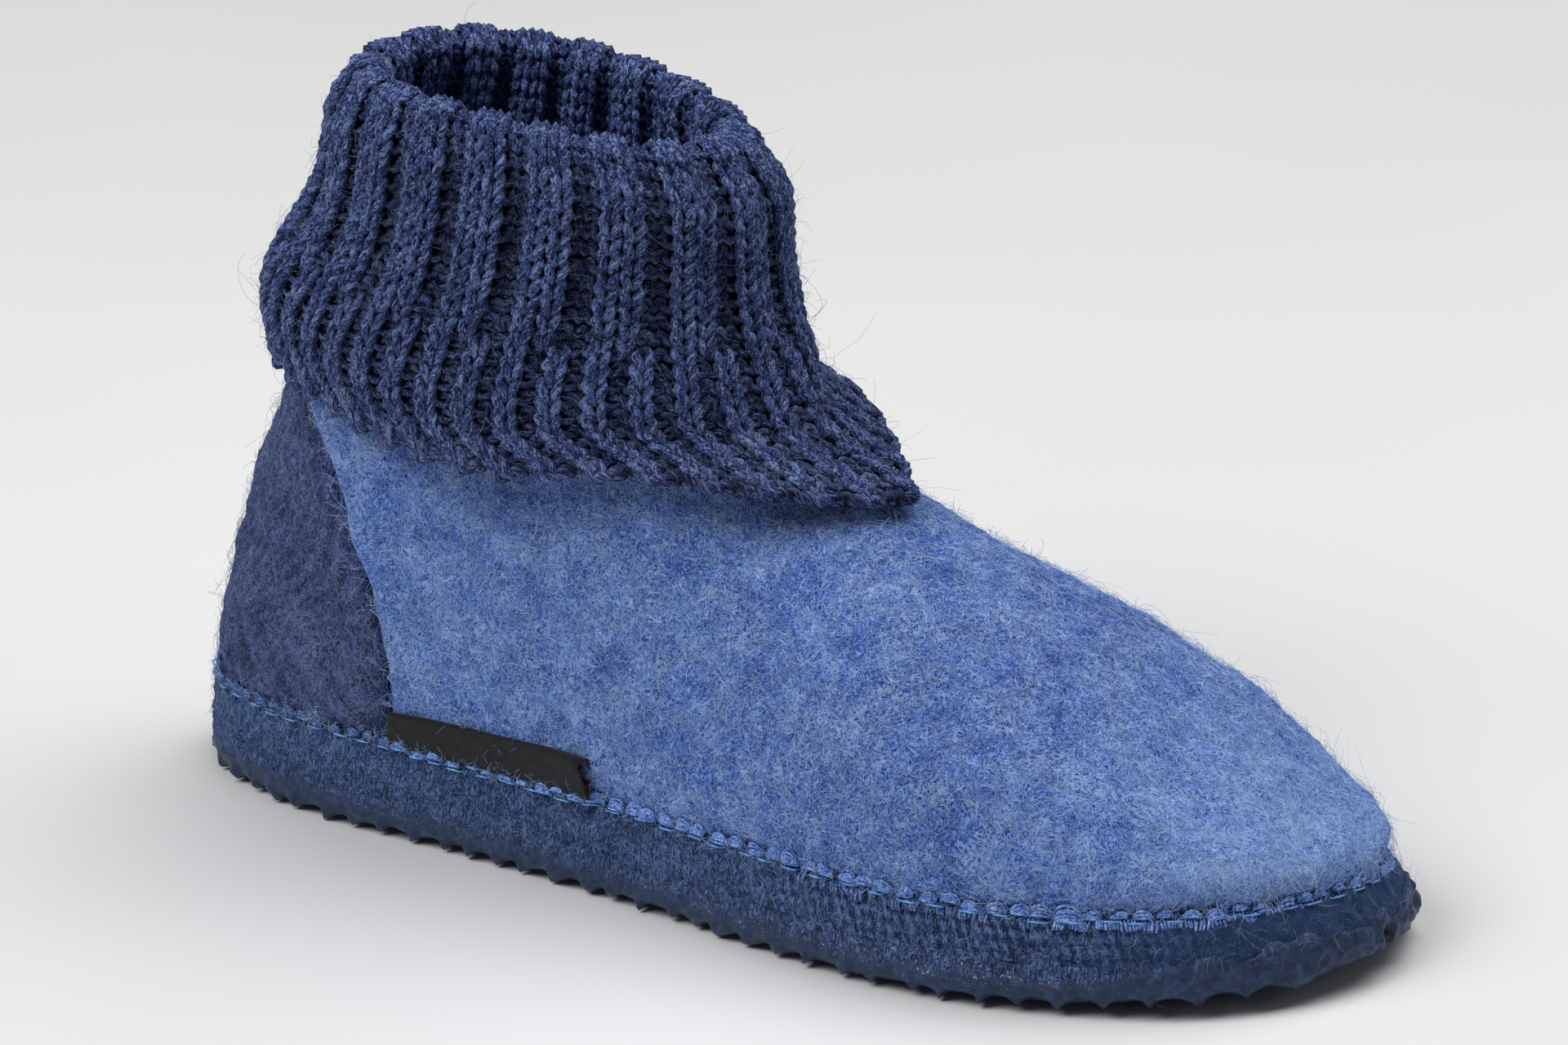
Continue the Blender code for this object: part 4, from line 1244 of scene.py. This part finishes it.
def build_felt_sole():
    """Felt wall and floor of the sole; its wall stands over the latex lip up to the seam."""
    foot = (TRAY_FLOOR_TOP + SEAT_GAP, FELT_WALL_FOOT)
    rings = [wall_ring(height, TRAY_LIP_WALL + SEAT_GAP) for height in foot]
    for height in FELT_WALL_HEIGHTS:
        further = 0.45 * (1 - ease(height, *FELT_FOOT_END)) + 0.5 * ease(height, *FELT_TOP_START)
        ring = wall_ring(height, further * MM)
        push = waves(ring, (0.14, 61, 2.5, 6), (0.10, 62, 9, 25)) + swell(height, *FELT_BELLY)
        push += ease(np.abs(ring[:, 0]), *FELT_ROUGH_ENDS) * waves(ring, (0.25, 63, 2.2, 5))
        rings.append(ring + outward(ring) * (push * MM)[:, None])
    rings.append(wall_ring(SEAM_HEIGHT, SOLE_FELT_WALL / 2))
    rings += [wall_ring(height, SOLE_FELT_WALL) for height in (SEAM_HEIGHT - 0.6 * MM, FELT_FLOOR_TOP)]
    look = sole_felt_look((0.17, 0.24, 0.38), (0.30, 0.42, 0.62))
    build_tray("felt_sole_wall", rings, look, "sole_felt", ("felt_sole",), coursed)
    return np.stack(rings[4:14])


def build_sole_fibres(wall):
    """Loose fibres on the felt wall of the sole."""
    rng = np.random.default_rng(63)
    look = fibre_look("sole_fibre_look", (0.05, 0.08, 0.16), (0.30, 0.38, 0.52))
    roots, outs = scatter(wall, grid_normals(wall, closed=True), 1500, rng)
    fibres("sole_fibres", roots, outs, (3.6, 0.45, 0.5, 2.4, 0.035), look, "sole_felt", rng)


def build_insole():
    """Felt insole: a sheet with a soft uneven face and rounded edges."""
    stations, across = INSOLE_GRID
    inset, toe_inset = wall_inset(SEAM_HEIGHT)
    sides = inset_plan(inset + SOLE_FELT_WALL + INSOLE_CLEARANCE, toe_inset)
    x, outer_y, inner_y = (row[:, None] for row in plan_sides(sides, np.linspace(0.0, math.pi, stations)))
    y = swing(outer_y, inner_y, np.linspace(0, math.pi, across))
    edge = np.minimum(np.minimum(y - outer_y, inner_y - y), np.minimum(x - x[0], x[-1] - x) * 0.6)
    x = x + 0 * y
    bottom = np.stack([x, y, lifted(FELT_FLOOR_TOP + SEAT_GAP, x, y)], axis=-1)
    rounded = np.sqrt(np.clip(1 - (1 - np.clip(edge / INSOLE_ROUND, 0, 1)) ** 2, 0, 1))
    relief = MM * waves(bottom, (0.15, 71, 4, 12)) * rounded
    top = bottom + (INSOLE_THICKNESS * (0.35 + 0.65 * rounded) + relief)[..., None] * UP
    count = stations * across
    face = grid_triangles(stations, across)
    rim = np.concatenate([
        np.arange(across), np.arange(2 * across - 1, count, across),
        np.arange(count - 2, count - across - 1, -1), np.arange(count - 2 * across, 0, -across),
    ])
    ahead = np.roll(rim, -1)
    below = rim + count
    side = [np.column_stack(corners) for corners in ((rim, below, ahead), (ahead, below, ahead + count))]
    look = felt_look(
        "insole_look",
        ((0.34, (0.045, 0.085, 0.200)), (0.50, (0.085, 0.140, 0.300)), (0.66, (0.150, 0.220, 0.420))),
        (0.36, 0.44, 0.62), 0.45,
    )
    triangles = np.vstack([face[:, ::-1], face + count, *side])
    add_piece("insole_felt", np.stack([top, bottom]), triangles, look, "insole_felt", ("insole",))


build_outsole()
build_sole_fibres(build_felt_sole())
build_insole()


# Seam stitches

LABEL_COVER = 1.3 * MM
PUFF_PITCH = 4.45 * MM
BAR_PITCH = 2.30 * MM
DASH_PITCH = 6.4 * MM
# Stretches along the shoe with upright stitches below the seam, and the start of the toe's puffed ones
BAR_STRETCH = (0.034, 0.088)
TOE_BAR_STRETCH = (0.088, 0.1225)
TOE_PUFFS = 0.094
BARS_SHOWN = 0.75
# Way along the seam, out and rise in mm
BAR = ((0.0, 0.0, -0.55), (0.0, 0.62, -0.85), (0.0, 0.75, -1.45), (0.0, 0.62, -2.05), (0.0, 0.0, -2.40))
BAR_STRAND_STEP = 0.55
DASH = ((-2.0, -0.1, -0.72), (-1.3, 1.15, -0.62), (-0.4, 1.36, -0.54), (0.5, 1.36, -0.54), (1.3, 1.15, -0.64),
        (2.0, -0.1, -0.75))
SEAM_FIBRES = 2500
# Name, dark, middle and light tone of the stitches, the upright ones and those at the heel
STITCH_YARNS = (
    ("stitch_look", (0.030, 0.090, 0.360), (0.160, 0.310, 0.760), (0.480, 0.640, 0.960)),
    ("bar_look", (0.020, 0.050, 0.180), (0.095, 0.180, 0.450), (0.270, 0.400, 0.720)),
    ("heel_stitch_look", (0.022, 0.050, 0.170), (0.085, 0.145, 0.370), (0.210, 0.300, 0.570)),
)
THREAD_TONES = ((0.35, (0.06, 0.24, 0.56)), (0.65, (0.18, 0.50, 0.90)))


class Seam:
    """Places along the seam line, by the way round from the heel tip by the outer side."""

    def __init__(self):
        self.ring = wall_ring(SEAM_HEIGHT)
        self.way = way_along(np.vstack([self.ring, self.ring[:1]]))
        self.length = self.way[-1]
        self.outs = outward(self.ring)

    def at(self, values, way):
        wrapped = np.vstack([values, values[:1]])
        return np.stack([np.interp(way % self.length, self.way, wrapped[:, i]) for i in range(3)], axis=-1)

    def starts(self, pitch, seed, spread):
        """Uneven starts of stitches along the whole seam, and their x."""
        starts = np.arange(0.0, self.length - pitch / 2, pitch)
        starts = starts + np.random.default_rng(seed).normal(0, spread, len(starts)) * pitch
        return starts, self.at(self.ring, starts)[:, 0]

    def places(self, way, out, rise):
        """Points at a way along the seam, out from it and above it, arrays of one shape; over the label."""
        base, outs = self.at(self.ring, way), unit(self.at(self.outs, way))
        behind = ease(base[..., 0], LABEL_BACK - 1.5 * MM, LABEL_BACK + 0.5 * MM)
        before = 1 - ease(base[..., 0], LABEL_FRONT - 0.5 * MM, LABEL_FRONT + 1.5 * MM)
        over_label = LABEL_COVER * behind * before * (base[..., 1] < 0)
        bulge = -np.minimum(rise, 0.0) * 0.25 + over_label
        return base + outs * (out + bulge)[..., None] + rise[..., None] * UP, outs


def stitches(name, starts, strands, radius, material, slot, seed, wobble, sides=4, size=1.0):
    """Equal stitches as one piece. strands: rows of way, out and rise for each strand; lengths in mm."""
    rng = np.random.default_rng(seed)
    count = len(starts)
    shift = rng.normal(0, wobble, (count, 1, 3))
    grow = size * np.exp(rng.normal(0, 0.12, (count, 1, 1)))
    lean = rng.normal(0, 0.25, (count, 1))
    all_points, all_triangles, offset = [], [], 0
    for strand in strands:
        moved = strand[None] * grow + shift + rng.normal(0, 0.5 * wobble, (count, 1, 3))
        moved[..., 0] += lean * strand[None, :, 2]
        moved = moved * MM
        paths, outs = SEAM.places(starts[:, None] + moved[..., 0], moved[..., 1], moved[..., 2])
        steps = np.linspace(-1, 1, len(strand))
        radii = radius * MM * np.sqrt(np.clip(1.08 - steps**2 * 0.75, 0.05, 1.0))
        points, triangles, _ = tubes(paths, radii, sides, outs)
        all_points.append(points)
        all_triangles.append(triangles + offset)
        offset += len(points)
    add_piece(name, np.vstack(all_points), np.vstack(all_triangles), material, slot)


def puff(count):
    """Strands of one puffed stitch: arcs between the same two ends, the lower ones further out."""
    turn = np.linspace(0.0, math.pi, 7)
    strands = []
    for layer in range(count):
        wide, tall, deep = 1.60 + 0.07 * layer, 0.45 + 0.34 * layer, 1.05 - 0.15 * layer
        out, rise = 0.05 + deep * np.sin(turn), tall * np.sin(turn) - 0.45
        strands.append(np.column_stack([-wide * np.cos(turn), out, rise]))
    return strands


def bar(count):
    """Strands of one upright stitch below the seam."""
    return [np.array(BAR) + ((i - (count - 1) / 2) * BAR_STRAND_STEP, 0.0, 0.0) for i in range(count)]


def build_stitches():
    """Puffed stitches along the seam, upright ones below it, and a thread over both."""
    yarn, bar_yarn, dark = (stitch_look(*row) for row in STITCH_YARNS)
    thread = plain_look("thread_look", 0.6, 2.0, THREAD_TONES, 0.28, 0.6)
    puffs, x = SEAM.starts(PUFF_PITCH, 81, 0.07)
    heel, toe = x < curve_at(PANEL_EDGE, SEAM_HEIGHT), x > TOE_PUFFS
    bars, x = SEAM.starts(BAR_PITCH, 83, 0.06)
    shown = np.random.default_rng(89).random(len(bars)) < BARS_SHOWN
    shown &= (x > BAR_STRETCH[0]) & (x < BAR_STRETCH[1])
    toe_shown = (x > TOE_BAR_STRETCH[0]) & (x < TOE_BAR_STRETCH[1])
    dashes, _ = SEAM.starts(DASH_PITCH, 85, 0.12)
    stitches("seam_puffs", puffs[~heel & ~toe], puff(6), 0.25, yarn, "light_felt", 82, 0.22)
    stitches("seam_puffs_toe", puffs[toe], puff(5), 0.25, yarn, "light_felt", 90, 0.22, size=0.8)
    stitches("seam_puffs_heel", puffs[heel], puff(5), 0.25, dark, "dark_felt", 87, 0.18, size=0.85)
    stitches("seam_bars", bars[shown], bar(3), 0.29, bar_yarn, "light_felt", 84, 0.22)
    stitches("seam_bars_toe", bars[toe_shown], bar(4), 0.27, yarn, "light_felt", 91, 0.14)
    stitches("seam_thread", dashes, [np.array(DASH)], 0.18, thread, "light_felt", 86, 0.10, 5)


def build_seam_fibres():
    """Loose fibres along the seam."""
    rng = np.random.default_rng(88)
    way = rng.uniform(0, SEAM.length, SEAM_FIBRES)
    rise = rng.uniform(-0.8, 2.0, SEAM_FIBRES) * MM
    roots, outs = SEAM.places(way, np.full(SEAM_FIBRES, 0.8 * MM), rise)
    lean = unit(outs + rng.normal(0, 0.3, outs.shape))
    fibres("seam_fibres", roots, lean, (2.8, 0.4, 0.6, 3.4, 0.034), LIGHT_FIBRES, "light_felt", rng)


SEAM = Seam()
build_stitches()
build_seam_fibres()


# Label

LABEL_STATIONS = 70
LABEL_TURNS = 12
LABEL_FOOT = 0.5 * MM
LABEL_WALL = 0.6 * LABEL_RIBBON


def build_label():
    """Plain folded ribbon on the outer side, standing on the seam; its front end gapes a little."""
    x = np.linspace(LABEL_BACK, LABEL_FRONT, LABEL_STATIONS)
    row = upper_row(SEAM_HEIGHT + LABEL_RISE, np.linspace(0.01, math.pi - 0.01, 400))
    base = np.column_stack([x, np.interp(x, row[:, 0], row[:, 1]), 0 * x + SEAM_HEIGHT + LABEL_RIBBON])
    outs = unit(np.column_stack([np.gradient(base[:, 1], x), 0 * x - 1, 0 * x]))
    share = np.linspace(0, 1, LABEL_STATIONS)
    depth = LABEL_DEPTH * (0.35 + 0.95 * ease(share, 0.78, 1.0) + 0.10 * np.sin(share * 9))
    top = LABEL_RISE * (0.77 + 0.23 * share + 0.02 * np.sin(share * 7) - 0.03 * ease(share, 0.94, 1.0))
    profile = [(0 * depth, top * part) for part in (0.0, 0.35, 0.7)]
    for turn in np.linspace(0.0, math.pi, LABEL_TURNS):
        profile.append((swing(0.0, depth, turn), top - depth / 2 + depth / 2 * math.sin(turn)))
    for part in (0.75, 0.5, 0.25):
        profile.append((depth + (LABEL_FOOT - depth) * (1 - part) * 0.9, top * part))
    profile.append((LABEL_FOOT + 0 * depth, 0 * top))
    away, rise = (np.stack(values)[..., None] for values in zip(*profile))
    points = base + outs * (LABEL_STANDOFF + away) + rise * UP
    across = way_along(points)
    weave = np.stack([np.broadcast_to(x, across.shape), across, 0 * across], axis=-1).reshape(-1, 3) / MM
    looks = [ribbon_look("ribbon_inside_look", (0.045, 0.004, 0.006), (0.110, 0.012, 0.014)),
             ribbon_look("ribbon_look", (0.004, 0.004, 0.005), (0.016, 0.016, 0.018))]
    triangles = grid_triangles(*points.shape[:2])
    piece = add_piece("label_ribbon", points, triangles, looks, "ribbon", ("label_loop",), weave=weave)
    thicken(piece, LABEL_WALL, 0.0).material_offset = 1


build_label()


# Floor, light and camera

FLOOR_HALF = 4.0
FLOOR_TONES = ((0.3, (0.73, 0.73, 0.73)), (0.7, (0.77, 0.77, 0.77)))
SKY_COLOUR = (0.95, 0.97, 1.0, 1.0)
SKY_STRENGTH = 0.075
# Name, place, height aimed at over the middle of the part, size, power in watts
LIGHTS = (
    ("key", (-0.65, -1.05, 1.50), 0.05, 1.2, 27.0),
    ("top", (0.30, 0.60, 1.65), 0.05, 1.6, 26.0),
    ("side", (1.50, 0.20, 0.70), 0.06, 0.9, 1.4),
)
CAMERA_EYE = (0.6762, -0.9906, 0.4712)
CAMERA_RIGHT = (0.8304, 0.5570, -0.0138)
CAMERA_UP = (-0.1671, 0.2725, 0.9475)
CAMERA_BACK = (0.5316, -0.7845, 0.3194)
CAMERA_LENS = 153.26
CAMERA_SENSOR = 36.0
CAMERA_CLIP = (0.05, 20.0)


def add_object(name, data):
    """New object in the scene."""
    made = bpy.data.objects.new(name, data)
    bpy.context.scene.collection.objects.link(made)
    return made


def build_floor():
    """Plain pale floor."""
    mesh = bpy.data.meshes.new("floor")
    corners = [(x * FLOOR_HALF, y * FLOOR_HALF, 0) for x, y in ((-1, -1), (1, -1), (1, 1), (-1, 1))]
    mesh.from_pydata(corners, [], [(0, 1, 2, 3)])
    mesh.materials.append(plain_look("floor_look", 0.004, 2.0, FLOOR_TONES, 0.55, 0.25))
    floor = add_object("floor", mesh)


def build_light():
    """Soft studio light: a faint sky, a large key from the left, one above and a weak one from the right."""
    world = bpy.data.worlds.new("studio")
    world.use_nodes = True
    sky = world.node_tree.nodes["Background"]
    sky.inputs[0].default_value = SKY_COLOUR
    sky.inputs[1].default_value = SKY_STRENGTH
    bpy.context.scene.world = world
    for name, place, height, size, power in LIGHTS:
        data = bpy.data.lights.new(name, "AREA")
        data.size = size
        data.energy = power
        turn = (Vector((0.0, 0.0, height)) - Vector(place)).to_track_quat("-Z", "Y").to_matrix().to_4x4()
        add_object(name, data).matrix_world = Matrix.Translation(place) @ turn


def build_camera():
    """Camera at the photograph's angle."""
    data = bpy.data.cameras.new("camera")
    data.lens = CAMERA_LENS
    data.sensor_width = CAMERA_SENSOR
    data.sensor_fit = "HORIZONTAL"
    data.clip_start, data.clip_end = CAMERA_CLIP
    camera = add_object("camera", data)
    turn = Matrix(np.column_stack([CAMERA_RIGHT, CAMERA_UP, CAMERA_BACK]).tolist())
    camera.matrix_world = Matrix.Translation(CAMERA_EYE) @ turn.to_4x4()
    bpy.context.scene.camera = camera


build_floor()
build_light()
build_camera()
bpy.context.scene.view_settings.view_transform = "Standard"
